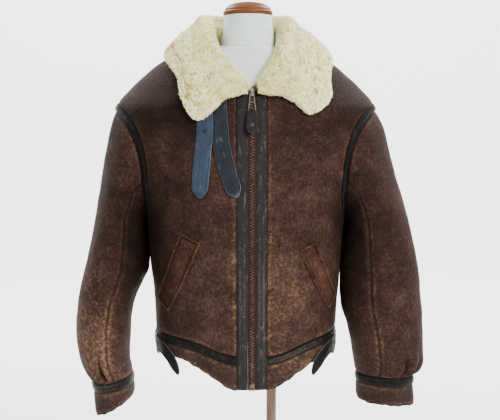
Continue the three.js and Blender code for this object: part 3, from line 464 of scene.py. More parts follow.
def grid_faces(rows, columns, closed=False, start=0, flip=False):
    """Four-sided faces of a grid of points, open or closed round its columns."""
    faces = []
    spans = columns if closed else columns - 1
    for i in range(rows - 1):
        for j in range(spans):
            a = start + i * columns + j
            b = start + i * columns + (j + 1) % columns
            quad = (a, b, b + columns, a + columns)
            faces.append(quad[::-1] if flip else quad)
    return faces


def bar_faces(rings, sides, start=0):
    """Faces of a bar: closed rings of points, with a face over each end."""
    last = start + (rings - 1) * sides
    foot = tuple(start + side for side in reversed(range(sides)))
    top = tuple(last + side for side in range(sides))
    return grid_faces(rings, sides, True, start) + [foot, top]


def hoop_faces(rings, sides):
    """Faces of a hoop: closed rings of points, of which the last joins the first."""
    last = (rings - 1) * sides
    joined = [(last + j, last + (j + 1) % sides, (j + 1) % sides, j) for j in range(sides)]
    return grid_faces(rings, sides, True) + joined


def shell(outer, inner, closed=False, flip=False):
    """Points, faces and looks of a wall: 0 for the outer face and rims, 1 for the inner face."""
    rows, columns = outer.shape[:2]
    half = rows * columns
    points = np.concatenate([outer.reshape(-1, 3), inner.reshape(-1, 3)])
    outside = grid_faces(rows, columns, closed)
    inside = grid_faces(rows, columns, closed, half, True)
    rims = []
    spans = columns if closed else columns - 1
    last = (rows - 1) * columns
    for j in range(spans):
        k = (j + 1) % columns
        rims.append((k, j, half + j, half + k))
        rims.append((last + j, last + k, half + last + k, half + last + j))
    if not closed:
        end = columns - 1
        for i in range(rows - 1):
            a, b = i * columns, (i + 1) * columns
            rims.append((a, b, half + b, half + a))
            rims.append((b + end, a + end, half + a + end, half + b + end))
    faces = outside + inside + rims
    if flip:
        faces = [face[::-1] for face in faces]
    looks = [0] * len(outside) + [1] * len(inside) + [0] * len(rims)
    return points, faces, looks


def edge_distance(points, closed=False):
    """Distance of each point of a grid from the grid's edge, in mm."""
    def run(grid):
        step = np.linalg.norm(np.diff(grid, axis=0), axis=-1)
        walked = np.concatenate([np.zeros((1, grid.shape[1])), np.cumsum(step, axis=0)])
        return np.minimum(walked, walked[-1] - walked)

    down = run(points)
    if closed:
        return down
    return np.minimum(down, run(points.swapaxes(0, 1)).T)


def seam_dip(away, depth=1.4, reach=4.5):
    """A sewn edge is drawn in, with a slight swell beside it."""
    return -depth * np.exp(-(away / reach) ** 2) + 0.35 * depth * np.exp(-((away - 11) / 6) ** 2)


# Places where the leather is painted paler (positive) or darker (negative), by x and z as seen
# from the front or from behind, with their half width and half height. They hold rubbed wear, a
# painted highlight as well as wear on the lower left sleeve, and painted shade under the arms, on
# the shoulders and under the collar
WEAR_AND_PAINTED_LIGHT_COLUMNS = ("side", "x", "z", "wide", "high", "wear_and_painted_light")
WEAR_AND_PAINTED_LIGHT = table(WEAR_AND_PAINTED_LIGHT_COLUMNS, (
    ("front", -320, 775, 55, 60, 0.62),
    ("front", -300, 700, 50, 40, 0.5),
    ("front", -318, 905, 42, 75, 0.3),
    ("front", -262, 1110, 50, 90, 0.08),
    ("front", -238, 900, 34, 120, -0.35),
    ("front", -225, 1010, 34, 90, -0.5),
    ("front", 300, 720, 60, 45, 0.12),
    ("front", 330, 800, 40, 60, 0.02),
    ("front", 270, 1010, 60, 80, -0.05),
    ("front", 215, 880, 24, 130, -0.25),
    ("front", 195, 1010, 30, 60, -0.55),
    ("front", -190, 960, 24, 110, -0.45),
    ("front", -120, 1215, 90, 50, -0.45),
    ("front", -150, 1120, 60, 70, -0.2),
    ("front", -60, 900, 70, 110, 0.12),
    ("front", 60, 860, 80, 130, 0.3),
    ("front", 90, 1060, 70, 90, 0.05),
    ("front", 130, 1190, 80, 60, -0.1),
    ("front", 200, 1230, 60, 60, -0.4),
    ("front", -215, 1230, 60, 40, -0.25),
    ("front", 0, 1290, 160, 34, -0.35),
    ("front", -120, 730, 60, 30, 0.12),
    ("front", 110, 740, 70, 30, 0.3),
    ("back", -9, 1240, 150, 70, 0.15),
    ("back", -9, 1345, 150, 30, -0.3),
    ("back", -9, 860, 130, 60, 0.18),
    ("back", -205, 1010, 40, 90, -0.45),
    ("back", 190, 1010, 40, 90, -0.45),
    ("back", -320, 880, 45, 80, 0.4),
    ("back", 320, 880, 45, 80, 0.4),
))


def wear_and_painted_light_at(points, normals):
    """How rubbed the skin is at some points, with the painted shade and painted highlight of the table."""
    total = np.zeros(points.shape[:-1])
    for row in WEAR_AND_PAINTED_LIGHT:
        across = (points[..., 0] - row["x"]) / row["wide"]
        up = (points[..., 2] - row["z"]) / row["high"]
        seen = -normals[..., 1] if row["side"] == "front" else normals[..., 1]
        total += row["wear_and_painted_light"] * np.exp(-(across**2 + up**2)) * np.clip(1.5 * seen + 0.4, 0, 1)
    return total


def stitch_row(points, normals, pitch=4.2, length=2.9, radius=0.42, sink=0.1):
    """Stitches along a line: short round ones, lying on the surface."""
    points = np.asarray(points, float)
    walked = walked_along(points)
    count = max(int(walked[-1] / pitch), 1)
    at = (np.arange(count) + 0.5) * walked[-1] / count
    centre = picked(at, walked, points)
    normal = unit(picked(at, walked, normals))
    along = unit(picked(at + 0.5, walked, points) - picked(at - 0.5, walked, points))
    across = unit(np.cross(normal, along))
    verts = []
    faces = []
    # Each stitch has a small end ring, a full middle ring and another small end ring
    rings = ((-0.5, 0.45, -0.5), (-0.25, 1, 0.25), (0.25, 1, 0.25), (0.5, 0.45, -0.5))
    sides = 4
    for k in range(count):
        base = len(verts)
        for place, size, lift in rings:
            middle = centre[k] + along[k] * place * length + normal[k] * (lift * radius - sink)
            for side in range(sides):
                turn = 2 * math.pi * side / sides
                way = math.cos(turn) * across[k] + math.sin(turn) * normal[k]
                verts.append(middle + radius * size * way)
        faces += bar_faces(len(rings), sides, base)
    return verts, faces


class Joined:
    """Many small shapes gathered into one mesh."""

    def __init__(self):
        self.points = []
        self.faces = []

    def add(self, points, faces):
        base = len(self.points)
        self.points.extend(points)
        self.faces.extend(tuple(base + k for k in face) for face in faces)

    def make(self, name, look, slot, body=COAT, **more):
        return piece(name, self.points, self.faces, (look,), slot, body, **more)


# Materials: a short language of shader nodes

class Look:
    """A material in the making; its values are sockets of shader nodes or plain numbers."""
    def __init__(self, name):
        self.material = bpy.data.materials.new(name)
        self.material.use_nodes = True
        self.nodes = self.material.node_tree.nodes
        self.links = self.material.node_tree.links
        self.shader = self.nodes["Principled BSDF"]
        self.place = self.nodes.new("ShaderNodeTexCoord").outputs["Object"]

    def wire(self, value, socket):
        if isinstance(value, bpy.types.NodeSocket):
            self.links.new(value, socket)
        else:
            socket.default_value = value

    def stretched(self, x, y, z):
        """The place in the piece, scaled along each axis."""
        node = self.nodes.new("ShaderNodeMapping")
        self.links.new(self.place, node.inputs["Vector"])
        node.inputs["Scale"].default_value = (x, y, z)
        return node.outputs["Vector"]

    def noise(self, size, detail=3, rough=0.55, vector=None, twist=0):
        """Noise whose lumps are about the given size in metres."""
        node = self.nodes.new("ShaderNodeTexNoise")
        self.links.new(vector or self.place, node.inputs["Vector"])
        node.inputs["Scale"].default_value = 1 / size
        node.inputs["Detail"].default_value = detail
        node.inputs["Roughness"].default_value = rough
        node.inputs["Distortion"].default_value = twist
        return node.outputs["Fac"]

    def cells(self, size):
        """Distance from the edges of cells of about the given size."""
        node = self.nodes.new("ShaderNodeTexVoronoi")
        node.feature = "DISTANCE_TO_EDGE"
        self.links.new(self.place, node.inputs["Vector"])
        node.inputs["Scale"].default_value = 1 / size
        return node.outputs["Distance"]

    def waves(self, size, axis, twist):
        """Bands along an axis, about the given size apart."""
        node = self.nodes.new("ShaderNodeTexWave")
        node.bands_direction = axis
        self.links.new(self.place, node.inputs["Vector"])
        node.inputs["Scale"].default_value = 1 / size
        node.inputs["Distortion"].default_value = twist
        return node.outputs["Fac"]

    def math(self, kind, a, b=0.0, clamp=False):
        node = self.nodes.new("ShaderNodeMath")
        node.operation = kind
        node.use_clamp = clamp
        self.wire(a, node.inputs[0])
        self.wire(b, node.inputs[1])
        return node.outputs["Value"]

    def times(self, a, b, clamp=False):
        return self.math("MULTIPLY", a, b, clamp)

    def total(self, *parts):
        """The sum of some values, each with its share."""
        value, share = parts[0]
        tone = self.times(value, share)
        for value, share in parts[1:]:
            tone = self.math("ADD", tone, self.times(value, share))
        return tone

    def fit(self, value, low, high, to_low=0.0, to_high=1.0):
        """The value stretched from one range to another, and kept inside it."""
        node = self.nodes.new("ShaderNodeMapRange")
        self.wire(value, node.inputs["Value"])
        numbers = {"From Min": low, "From Max": high, "To Min": to_low, "To Max": to_high}
        for name, number in numbers.items():
            node.inputs[name].default_value = number
        return node.outputs["Result"]

    def number(self, name):
        """A number painted on the vertices."""
        node = self.nodes.new("ShaderNodeAttribute")
        node.attribute_name = name
        return node.outputs["Fac"]

    def ramp(self, value, stops):
        """Colours along a value from 0 to 1."""
        node = self.nodes.new("ShaderNodeValToRGB")
        self.wire(value, node.inputs["Fac"])
        ramp = node.color_ramp
        while len(ramp.elements) < len(stops):
            ramp.elements.new(0.5)
        for element, (place, colour) in zip(ramp.elements, stops):
            element.position = place
            element.color = (*colour, 1)
        return node.outputs["Color"]

    def blend(self, share, a, b):
        """A mix of two colours."""
        node = self.nodes.new("ShaderNodeMix")
        node.data_type = "RGBA"
        self.wire(share, node.inputs["Factor"])
        self.wire((*a, 1) if isinstance(a, tuple) else a, node.inputs["A"])
        self.wire((*b, 1) if isinstance(b, tuple) else b, node.inputs["B"])
        return next(s for s in node.outputs if s.type == "RGBA")

    def bump(self, height, depth, strength):
        """A normal from a height that is worth some metres."""
        node = self.nodes.new("ShaderNodeBump")
        self.wire(height, node.inputs["Height"])
        node.inputs["Distance"].default_value = depth
        node.inputs["Strength"].default_value = strength
        return node.outputs["Normal"]

    def finish(self, colour, roughness, normal=None, **constants):
        """The finished material; constants are further inputs of its shader."""
        self.wire(colour, self.shader.inputs["Base Color"])
        self.wire(roughness, self.shader.inputs["Roughness"])
        if normal is not None:
            self.links.new(normal, self.shader.inputs["Normal"])
        for name, number in constants.items():
            self.shader.inputs[name.replace("_", " ")].default_value = number
        return self.material


def skin_look(name, stops, shift=0.0):
    """Antiqued sheepskin, grain side out: clouded, rubbed, with painted shade and painted highlight in
    places, and a fine crackled grain.
    """
    look = Look(name)
    cloud = look.noise(0.12, 4, 0.6)
    mottle = look.noise(0.030, 5, 0.7, twist=0.25)
    speck = look.noise(0.0062, 4, 0.8)
    fine = look.noise(0.0032, 3, 0.8, look.stretched(1, 1, 0.5))
    grain = look.cells(0.0036)
    # The painted number is rubbed wear, with painted shade and painted highlight; it darkens or lightens the
    # colour
    wear_and_painted_light = look.number("wear_and_painted_light")
    tone = look.total((cloud, 0.36), (mottle, 0.28), (speck, 0.62), (wear_and_painted_light, 0.30), (fine, 0.50))
    tone = look.math("ADD", tone, shift)
    colour = look.ramp(look.fit(tone, 0.66, 1.29), stops)
    # Rubbed places break up into pale specks
    crackle = look.times(look.fit(speck, 0.5, 0.64), look.fit(wear_and_painted_light, 0.10, 0.6))
    crackle = look.times(crackle, look.fit(mottle, 0.40, 0.60), True)
    colour = look.blend(crackle, colour, (0.36, 0.19, 0.090))
    pits = look.fit(grain, 0.0, 0.16)
    dark = look.times(look.math("SUBTRACT", 1.0, pits), look.fit(mottle, 0.35, 0.6, 0.65, 0.25))
    colour = look.blend(dark, colour, (0.012, 0.006, 0.005))
    height = look.total((pits, 0.5), (speck, 1.2), (mottle, 1.0), (fine, 0.6))
    rough = look.fit(look.math("ADD", mottle, speck), 0.6, 1.4, 0.52, 0.78)
    normal = look.bump(height, 0.0013, 0.9)
    return look.finish(colour, rough, normal, Specular_IOR_Level=0.09)


def leather_look(name, dark, pale, gloss=0.34, scuff=0.5, shine=0.22):
    """Smooth strap leather: fine pebbled grain, scuffs, and edges that are rubbed, with a painted highlight
    where the painted number asks for it.
    """
    look = Look(name)
    cloud = look.noise(0.03, 4, 0.6)
    speck = look.noise(0.0030, 3, 0.7)
    streak = look.noise(0.0075, 5, 0.75, look.stretched(1, 1, 0.4))
    # The painted number is rubbed wear, with painted shade on the tapes and a painted highlight towards the
    # end of the far collar strap
    edge = look.number("wear_and_painted_light")
    wear_with_painted_light = look.times(look.fit(streak, 0.55, 0.70), scuff)
    chafed = look.math("ADD", edge, look.times(speck, 0.9))
    wear_with_painted_light = look.math("ADD", wear_with_painted_light, look.fit(chafed, 0.92, 1.5, 0.0, 0.8), True)
    colour = look.blend(look.fit(cloud, 0.3, 0.7), dark, tuple(1.8 * c for c in dark))
    colour = look.blend(wear_with_painted_light, colour, pale)
    grain = look.cells(0.0019)
    height = look.math("ADD", look.fit(grain, 0, 0.2), look.times(streak, 1.2))
    rough = look.math("ADD", look.fit(cloud, 0.3, 0.7, gloss, gloss + 0.16), look.times(wear_with_painted_light, 0.2))
    return look.finish(colour, rough, look.bump(height, 0.0005, 0.7), Specular_IOR_Level=shine)


def fleece_look(name, deep, middle, tip, lock=0.0065):
    """Curled wool, with painted shade where it lies low between its locks and a painted highlight where it
    stands out.
    """
    look = Look(name)
    # The fleece's height sets its painted shade and highlight
    depth = look.number("lift")
    curl = look.noise(lock, 4, 0.7, twist=1.2)
    cloud = look.noise(0.035, 3, 0.6)
    tone = look.total((depth, 0.62), (curl, 0.36), (look.fit(cloud, 0.3, 0.7), 0.18))
    colour = look.ramp(look.fit(tone, 0.18, 0.86), ((0.08, deep), (0.40, middle), (0.88, tip)))
    normal = look.bump(curl, 0.0022, 0.9)
    return look.finish(colour, 0.95, normal, Specular_IOR_Level=0.1, Sheen_Weight=0.08)


def cloth_look(name, dark, pale, thread):
    """Plain woven cloth, with threads of the given size in metres."""
    look = Look(name)
    warp = look.waves(thread * 6.283, "X", 0.4)
    weft = look.waves(thread * 6.283, "Z", 0.4)
    weave = look.math("MAXIMUM", warp, weft)
    cloud = look.noise(0.05, 5, 0.6)
    fibre = look.noise(0.004, 3, 0.6)
    tone = look.total((look.fit(cloud, 0.3, 0.7), 0.3), (fibre, 0.3), (weave, 0.35))
    colour = look.ramp(tone, ((0.15, dark), (0.75, pale)))
    return look.finish(colour, 0.88, look.bump(weave, 0.0003, 0.5), Specular_IOR_Level=0.15)


def metal_look(name, clean, tarnish, rough):
    """Metal that has tarnished in clouds."""
    look = Look(name)
    cloud = look.noise(0.006, 4, 0.65)
    fine = look.noise(0.0012, 3, 0.6)
    dirt = look.fit(look.math("ADD", cloud, look.times(fine, 0.4)), 0.5, 0.85)
    colour = look.blend(dirt, clean, tarnish)
    dull = look.fit(dirt, 0, 1, rough, rough + 0.3)
    return look.finish(colour, dull, look.bump(fine, 0.0002, 0.4), Metallic=0.92)


def wood_look(name, dark, pale):
    """Varnished wood with its grain upright."""
    look = Look(name)
    grain = look.noise(0.012, 4, 0.65, look.stretched(1, 0.4, 0.12), 1.6)
    fibre = look.noise(0.0035, 4, 0.6, look.stretched(1, 1, 0.06))
    cloud = look.noise(0.04, 3, 0.6)
    tone = look.total((grain, 0.32), (fibre, 0.42), (cloud, 0.26))
    colour = look.ramp(tone, ((0.25, dark), (0.72, pale)))
    rough = look.fit(fibre, 0.3, 0.7, 0.34, 0.5)
    return look.finish(colour, rough, look.bump(fibre, 0.0004, 0.5), Specular_IOR_Level=0.25)


def plain_look(name, colour, rough):
    """One colour with a barely seen cloud in it."""
    look = Look(name)
    shade = look.noise(0.4, 2, 0.5)
    pale = tuple(min(1.0, c * 1.03) for c in colour)
    return look.finish(look.blend(shade, colour, pale), rough)


SKIN = skin_look("antiqued_skin", (
    (0.0, (0.0078, 0.0036, 0.0026)), (0.3, (0.030, 0.0140, 0.0096)), (0.52, (0.067, 0.0340, 0.0238)),
    (0.76, (0.125, 0.070, 0.050)), (1.0, (0.25, 0.150, 0.103)),
))
BAND = skin_look("band_skin", (
    (0.0, (0.013, 0.0064, 0.0042)), (0.3, (0.031, 0.0168, 0.0120)), (0.55, (0.055, 0.0320, 0.0235)),
    (0.78, (0.090, 0.056, 0.042)), (1.0, (0.17, 0.112, 0.083)),
), 0.02)
BLACK = leather_look("black_leather", (0.0014, 0.0012, 0.0013), (0.13, 0.098, 0.075), 0.36, 0.35, 0.12)
STRIP = leather_look("strip_leather", (0.0085, 0.0066, 0.0072), (0.15, 0.11, 0.092), 0.46, 0.75)
BLUE = leather_look("strap_leather", (0.0165, 0.028, 0.048), (0.13, 0.185, 0.26), 0.34, 0.5)
NIGHT = leather_look("strap_leather_dark", (0.0060, 0.0076, 0.0125), (0.12, 0.155, 0.21), 0.32, 0.4)
THREAD = cloth_look("dark_thread", (0.006, 0.006, 0.008), (0.035, 0.034, 0.038), 0.0004)
ZIP_CLOTH = cloth_look("zip_tape", (0.014, 0.0065, 0.0062), (0.040, 0.020, 0.019), 0.0006)
BRONZE = metal_look("bronze", (0.30, 0.195, 0.135), (0.060, 0.036, 0.026), 0.34)
STEEL = metal_look("nickel", (0.52, 0.47, 0.41), (0.16, 0.13, 0.105), 0.28)
IRON = metal_look("black_buckle", (0.26, 0.24, 0.22), (0.035, 0.032, 0.030), 0.28)
FLEECE = fleece_look("cream_fleece", (0.30, 0.20, 0.036), (0.78, 0.65, 0.195), (1.0, 1.0, 0.60))
LINING = fleece_look("lining_fleece", (0.22, 0.16, 0.09), (0.52, 0.43, 0.28), (0.70, 0.62, 0.45), 0.006)
CANVAS = cloth_look("form_canvas", (0.66, 0.76, 0.81), (0.84, 0.92, 0.95), 0.0011)
WOOD = wood_look("cap_wood", (0.060, 0.012, 0.0012), (0.20, 0.056, 0.0062))
POLE = wood_look("pole_wood", (0.10, 0.055, 0.032), (0.22, 0.145, 0.10))
WELT = skin_look("welt_skin", (
    (0.0, (0.011, 0.0044, 0.0028)), (0.3, (0.038, 0.0155, 0.0094)), (0.52, (0.080, 0.0355, 0.0210)),
    (0.76, (0.145, 0.073, 0.045)), (1.0, (0.27, 0.155, 0.095)),
))
PEWTER = metal_look("pewter", (0.15, 0.145, 0.14), (0.06, 0.055, 0.05), 0.35)
TAB = leather_look("tab_leather", (0.0075, 0.0058, 0.0066), (0.11, 0.085, 0.07), 0.4, 0.5, 0.16)
DULL = metal_look("eyelet_metal", (0.042, 0.042, 0.048), (0.016, 0.016, 0.018), 0.35)
NAVY_THREAD = cloth_look("navy_thread", (0.0022, 0.0035, 0.0065), (0.010, 0.014, 0.022), 0.0004)
# A near-black disc in each eyelet stands for the painted shade inside its hole
HOLE_SHADE = plain_look("eyelet_hole_shade", (0.004, 0.004, 0.004), 0.9)


# The body's panels


def panel(name, looks, slot, outer, inner, normals, closed=False, wear_and_painted_light=0.0, flip=False):
    """A sewn piece: a wall whose outer face knows how rubbed it is and where shade and highlight are painted
    on it, and whose inner face is fleece.
    """
    points, faces, face_looks = shell(outer, inner, closed, flip)
    made = piece(name, points, faces, looks, slot, stands_for=(name,), face_looks=face_looks)
    away = edge_distance(outer, closed)
    chafed = 0.30 * np.exp(-((away - 5) / 4) ** 2) - 0.5 * np.exp(-(away / 2) ** 2)
    wear_with_painted_light = wear_and_painted_light_at(outer, normals) + wear_and_painted_light + chafed
    paint(made, "wear_and_painted_light", [wear_with_painted_light, wear_with_painted_light])
    lift = 0.5 + 0.5 * lattice_noise(inner, 4, 8)
    paint(made, "lift", [lift, lift])


def body_panel(name, looks, slot, angle, z, out, inside, dip=1.4, wear_and_painted_light=0.0):
    """A panel of the body between two distances out from the body's surface."""
    base = body_surface(angle, z)
    normals = body_normal(angle, z)
    away = edge_distance(base)
    puckers = 0.45 * lattice_noise(base, 7, 12) * np.exp(-away / 9)
    relief = body_relief(base, normals)
    outer = base + normals * (out + relief + seam_dip(away, dip) + puckers)[..., None]
    fuzz = 0.8 * lattice_noise(base, 5, 21)
    inner = base + normals * (inside + relief + fuzz)[..., None]
    panel(name, looks, slot, outer, inner, normals, wear_and_painted_light=wear_and_painted_light)


def make_fronts():
    """The two fronts, from the leather strips beside the zip to the side and shoulder seams."""
    for name, side in (("front_left", -1), ("front_right", 1)):
        rows = np.concatenate([PANEL_ROWS * spaced(GRID_ROWS, FRONT_SIZE[1]), np.arange(PANEL_ROWS + 1)])
        rows = np.unique(rows)[:, None]
        shares = spaced(FRONT_COLUMNS, FRONT_SIZE[0])[None, :]
        order = shares if side > 0 else shares[:, ::-1]
        angle, z = front_place(side, rows, order)
        body_panel(name, (SKIN, LINING), "antiqued_skin", angle, z, 0, -WALL)


def make_back():
    """The plain back."""
    rows = (PANEL_ROWS * spaced(GRID_ROWS, BACK_SIZE[1]))[:, None]
    angle, z = back_place(rows, spaced(BACK_COLUMNS, BACK_SIZE[0])[None, ::-1])
    body_panel("back", (SKIN, LINING), "antiqued_skin", angle, z, 0, -WALL)


def band_angles(name, shares):
    """Angles across a piece of the waist, at any height."""
    if name == "back":
        return lambda z: back_place(np.zeros(1), shares)[0]
    side = -1 if name == "left" else 1

    def angles(z):
        zip_angle = angle_at(ZIP_X + side * (FACING_OUT + SEAM), z)
        return mix(zip_angle, float(side_edge(np.zeros(1), side, 1)[0][0]), shares)

    return angles


def band_place(name, shares, low_of, high_of, ups):
    """Angles and heights on a piece of the waist, between two lines round the body."""
    angles = band_angles(name, shares)
    rough = angles(np.full((1, 1), float(WAIST_SIDE_Z)))
    z = mix(low_of(rough), high_of(rough), ups[:, None])
    angle = angles(z) + 0 * z
    return angle, mix(low_of(angle), high_of(angle), ups[:, None])


def tape_foot_z(angle):
    return waist_low_z(angle) + SEAM


def ragged_hem_z(angle):
    """Height of the hem, whose raw edge is uneven."""
    return hem_z(angle) + HEM_RAGGED * lattice_noise(body_surface(angle, 700), 10, 31)


def make_waist():
    """The tape round the waist and the ragged band under it, each in three pieces."""
    # Columns across each piece of the waist, and its width
    pieces = {"left": (64, 260), "right": (64, 260), "back": (120, BACK_SIZE[0])}
    for name, (count, length) in pieces.items():
        order = 1 if name == "right" else -1
        ups = spaced(5, WAIST_TAPE, (0.8, 2, 4))
        shares = spaced(count, length)[None, ::order]
        angle, z = band_place(name, shares, tape_foot_z, waist_top_z, ups)
        body_panel(f"waist_tape_{name}", (BLACK, BLACK), "black_leather", angle, z, 0.9, -WALL + 1, 0.7, 0.1)
        shares = spaced(count + 20, length)[None, ::order]
        angle, z = band_place(name, shares, ragged_hem_z, waist_low_z, spaced(14, 50))
        body_panel(f"waistband_{name}", (BAND, LINING), "waistband_skin", angle, z, 0, -WALL, 1.1, 0.05)


def strip_heights():
    """Heights along the zip, from the hem to the neckline."""
    low = mix(float(hem_z(ZIP_ANGLE)), float(waist_low_z(ZIP_ANGLE)), np.linspace(0, 1, 16)[:-1])
    return np.concatenate([low, front_edge_z(np.linspace(0, PANEL_ROWS, 130))])


def make_zip_strips():
    """A leather strip and a woven tape on each side of the zip."""
    heights = strip_heights()[:, None]
    for side, name in ((-1, "left"), (1, "right")):
        edges = side * mix(ZIP_TAPE_HALF + SEAM, FACING_OUT, spaced(5, 20, (0.8, 2, 4)))
        x = ZIP_X + np.sort(edges)[None, :]
        body_panel(f"zip_facing_{name}", (STRIP, STRIP), "black_leather",
                   angle_at(x, heights), heights + 0 * x, 0.8, -WALL + 1, 0.6, 0.12)
        x = ZIP_X + np.sort(side * np.linspace(SEAM / 2, ZIP_TAPE_HALF, 5))[None, :]
        body_panel(f"zip_tape_{name}", (ZIP_CLOTH, ZIP_CLOTH), "zip_tape_cloth",
                   angle_at(x, heights), heights + 0 * x, -0.6, -2, 0)


ZIP_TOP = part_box("zip_chain")[1][2] / MM
ZIP_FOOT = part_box("zip_chain")[0][2] / MM
TOOTH_PITCH = 5.4

# A tooth seen from the front, along it and across it, and its levels: distance out and size
TOOTH_OUTLINE = (
    (0, -0.5), (0.35, -0.5), (0.75, -0.4), (1, -0.22), (1, 0.22), (0.75, 0.4), (0.35, 0.5), (0, 0.5),
)
TOOTH_LEVELS = ((-0.6, 1.0), (1.4, 1.0), (2.0, 0.62))


def local_axes(angle, z):
    """Axes on the body: across to +X, out of the body, and up along it."""
    normal = body_normal(angle, z)
    across = unit(ACROSS - normal * normal[0])
    return across, normal, np.cross(across, normal)


def make_teeth():
    """The closed teeth: two rows that mesh, each tooth a rounded bar with a raised head."""
    gathered = Joined()
    count = int((ZIP_TOP - ZIP_FOOT) / TOOTH_PITCH * 2)
    ring = len(TOOTH_OUTLINE)
    for k in range(count):
        side = 1 if k % 2 else -1
        z = ZIP_FOOT + (k + 0.5) * TOOTH_PITCH / 2
        angle = float(angle_at(ZIP_X, z))
        point = body_point(angle, z, 0.0)
        across, normal, up = local_axes(angle, z)
        verts = []
        for out, size in TOOTH_LEVELS:
            for place, half in TOOTH_OUTLINE:
                x = side * (-TOOTH_HALF + 0.2 + place * (TOOTH_HALF + 0.9))
                tall = half * (TOOTH_PITCH * 0.40) * size
                verts.append(point + across * x * (0.94 if size < 1 else 1) + up * tall + normal * out)
        faces = bar_faces(len(TOOTH_LEVELS), ring)
        if side > 0:
            faces = [face[::-1] for face in faces]
        gathered.add(verts, faces)
    gathered.make("zip_teeth", BRONZE, "bronze_zip", stands_for=("zip_chain",))


def block(centre, axes, sizes, bevel):
    """A box with bevelled edges, from its middle, three unit axes and three full sizes."""
    corners = []
    depth = sizes[1] / 2
    for level, shrink in ((-depth, bevel), (bevel - depth, 0), (depth - bevel, 0), (depth, bevel)):
        half_x = sizes[0] / 2 - shrink
        half_z = sizes[2] / 2 - shrink
        near_x = half_x - bevel
        near_z = half_z - bevel
        for x, z in ((-near_x, -half_z), (near_x, -half_z), (half_x, -near_z), (half_x, near_z),
                     (near_x, half_z), (-near_x, half_z), (-half_x, near_z), (-half_x, -near_z)):
            corners.append(centre + axes[0] * x + axes[1] * level + axes[2] * z)
    return corners, [face[::-1] for face in bar_faces(4, 8)]


def tube(path, radius, sides, closed, up):
    """Points and faces of a round bar along a path, as a rod or closed to a hoop."""
    path = np.asarray(path, float)
    count = len(path)
    if closed:
        along = unit(np.roll(path, -1, axis=0) - np.roll(path, 1, axis=0))
    else:
        along = unit(np.gradient(path, axis=0))
    side = unit(np.cross(along, np.asarray(up, float)))
    other = np.cross(side, along)
    turn = 2 * np.pi * np.arange(sides) / sides
    radii = np.broadcast_to(np.asarray(radius, float), (count,))
    way = np.cos(turn)[None, :, None] * side[:, None] + np.sin(turn)[None, :, None] * other[:, None]
    points = path[:, None] + radii[:, None, None] * way
    faces = hoop_faces(count, sides) if closed else bar_faces(count, sides)
    return points.reshape(-1, 3).tolist(), faces


# The zip's slider, box and pull

PIVOT = np.array(JOINT["pos_m"]) / MM
SLIDER_HALF_HEIGHT = 7.5
SLIDER_DEPTH = 4
BAR_CENTRE = SLIDER_DEPTH / 2 + 1.7
PULL_SLOPE = 0.4
PULLER_LENGTH = 43
PULLER_WIRE = 1.9


def pull_point(x, down, out=0.0):
    """A point of the hanging pull: across, down from the pivot, and out from the jacket."""
    along = np.array([0, -math.sin(PULL_SLOPE), -math.cos(PULL_SLOPE)])
    proud = np.array([0, -math.cos(PULL_SLOPE), math.sin(PULL_SLOPE)])
    return PIVOT + ACROSS * x + along * down + proud * out


PULL_OUT = pull_point(0, 0, 1) - pull_point(0, 0, 0)

# Half of the slider's shield shape, from its foot up: place and half width
SHIELD = ((-1, 0.62), (-0.8, 0.8), (-0.2, 0.94), (0.45, 1), (0.8, 0.92), (1, 0.6))
SHIELD_HALF_WIDTH = 4.5
# The bridge over the slider, from its foot up: height and distance out
BRIDGE = (
    (-5.0, 1.4), (-4.6, 3.2), (-3.3, 5.0), (-1.4, 6.0), (1.4, 6.0), (3.3, 5.0), (4.6, 3.2), (5.0, 1.4),
)


def make_slider():
    """Two plates of a shield shape, joined in the middle, and a bridge over them."""
    slope = math.atan2(float(body_front(1256) - body_front(1270)), 14)
    out = np.array([0, -math.cos(slope), math.sin(slope)])
    up = np.array([0, math.sin(slope), math.cos(slope)])
    middle = PIVOT - out * BAR_CENTRE
    gathered = Joined()
    for level, thick, size in ((1.1, 1.3, 1.0), (-1.3, 1.2, 0.96)):
        half_loop = [(half * SHIELD_HALF_WIDTH * size, place * SLIDER_HALF_HEIGHT) for place, half in SHIELD]
        loop = half_loop + [(-x, z) for x, z in reversed(half_loop)]
        verts = []
        half = thick / 2
        for depth, shrink in ((-half, 0.94), (-half + 0.25, 1), (half - 0.25, 1), (half, 0.92)):
            verts += [middle + (ACROSS * x + up * z) * shrink + out * (level + depth) for x, z in loop]
        gathered.add(verts, bar_faces(4, len(loop)))
    gathered.add(*block(middle - out * 0.1, (ACROSS, out, up), (2.4, 3.0, 9.0), 0.3))
    for (z0, y0), (z1, y1) in zip(BRIDGE, BRIDGE[1:]):
        start = middle + up * z0 + out * y0
        end = middle + up * z1 + out * y1
        length = np.linalg.norm(end - start)
        along = (end - start) / length
        axes = (ACROSS, np.cross(ACROSS, along), along)
        gathered.add(*block((start + end) / 2, axes, (3.2, 1.1, length + 0.5), 0.25))
    gathered.make("slider", STEEL, "steel_zip", stands_for=("zip_slider",))


def make_zip_box():
    """The box at the zip's foot, with a raised plate and two horns."""
    low, high = (corner[2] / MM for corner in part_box("zip_box"))
    z = (low + high) / 2
    angle = float(angle_at(ZIP_X, z))
    axes = local_axes(angle, z)
    middle = body_point(angle, z, 1.5)
    gathered = Joined()
    gathered.add(*block(middle, axes, (9.6, 3.2, high - low - 0.4), 0.7))
    gathered.add(*block(middle + axes[1] * 1.7 + axes[2] * 1.0, axes, (5.6, 0.9, 7.0), 0.3))
    for x in (-3.2, 3.2):
        place = middle + axes[0] * x + axes[2] * (high - low) * 0.56
        gathered.add(*block(place, axes, (2.6, 2.4, 3.4), 0.4))
    gathered.make("zip_foot_box", BRONZE, "bronze_zip", stands_for=("zip_box",))


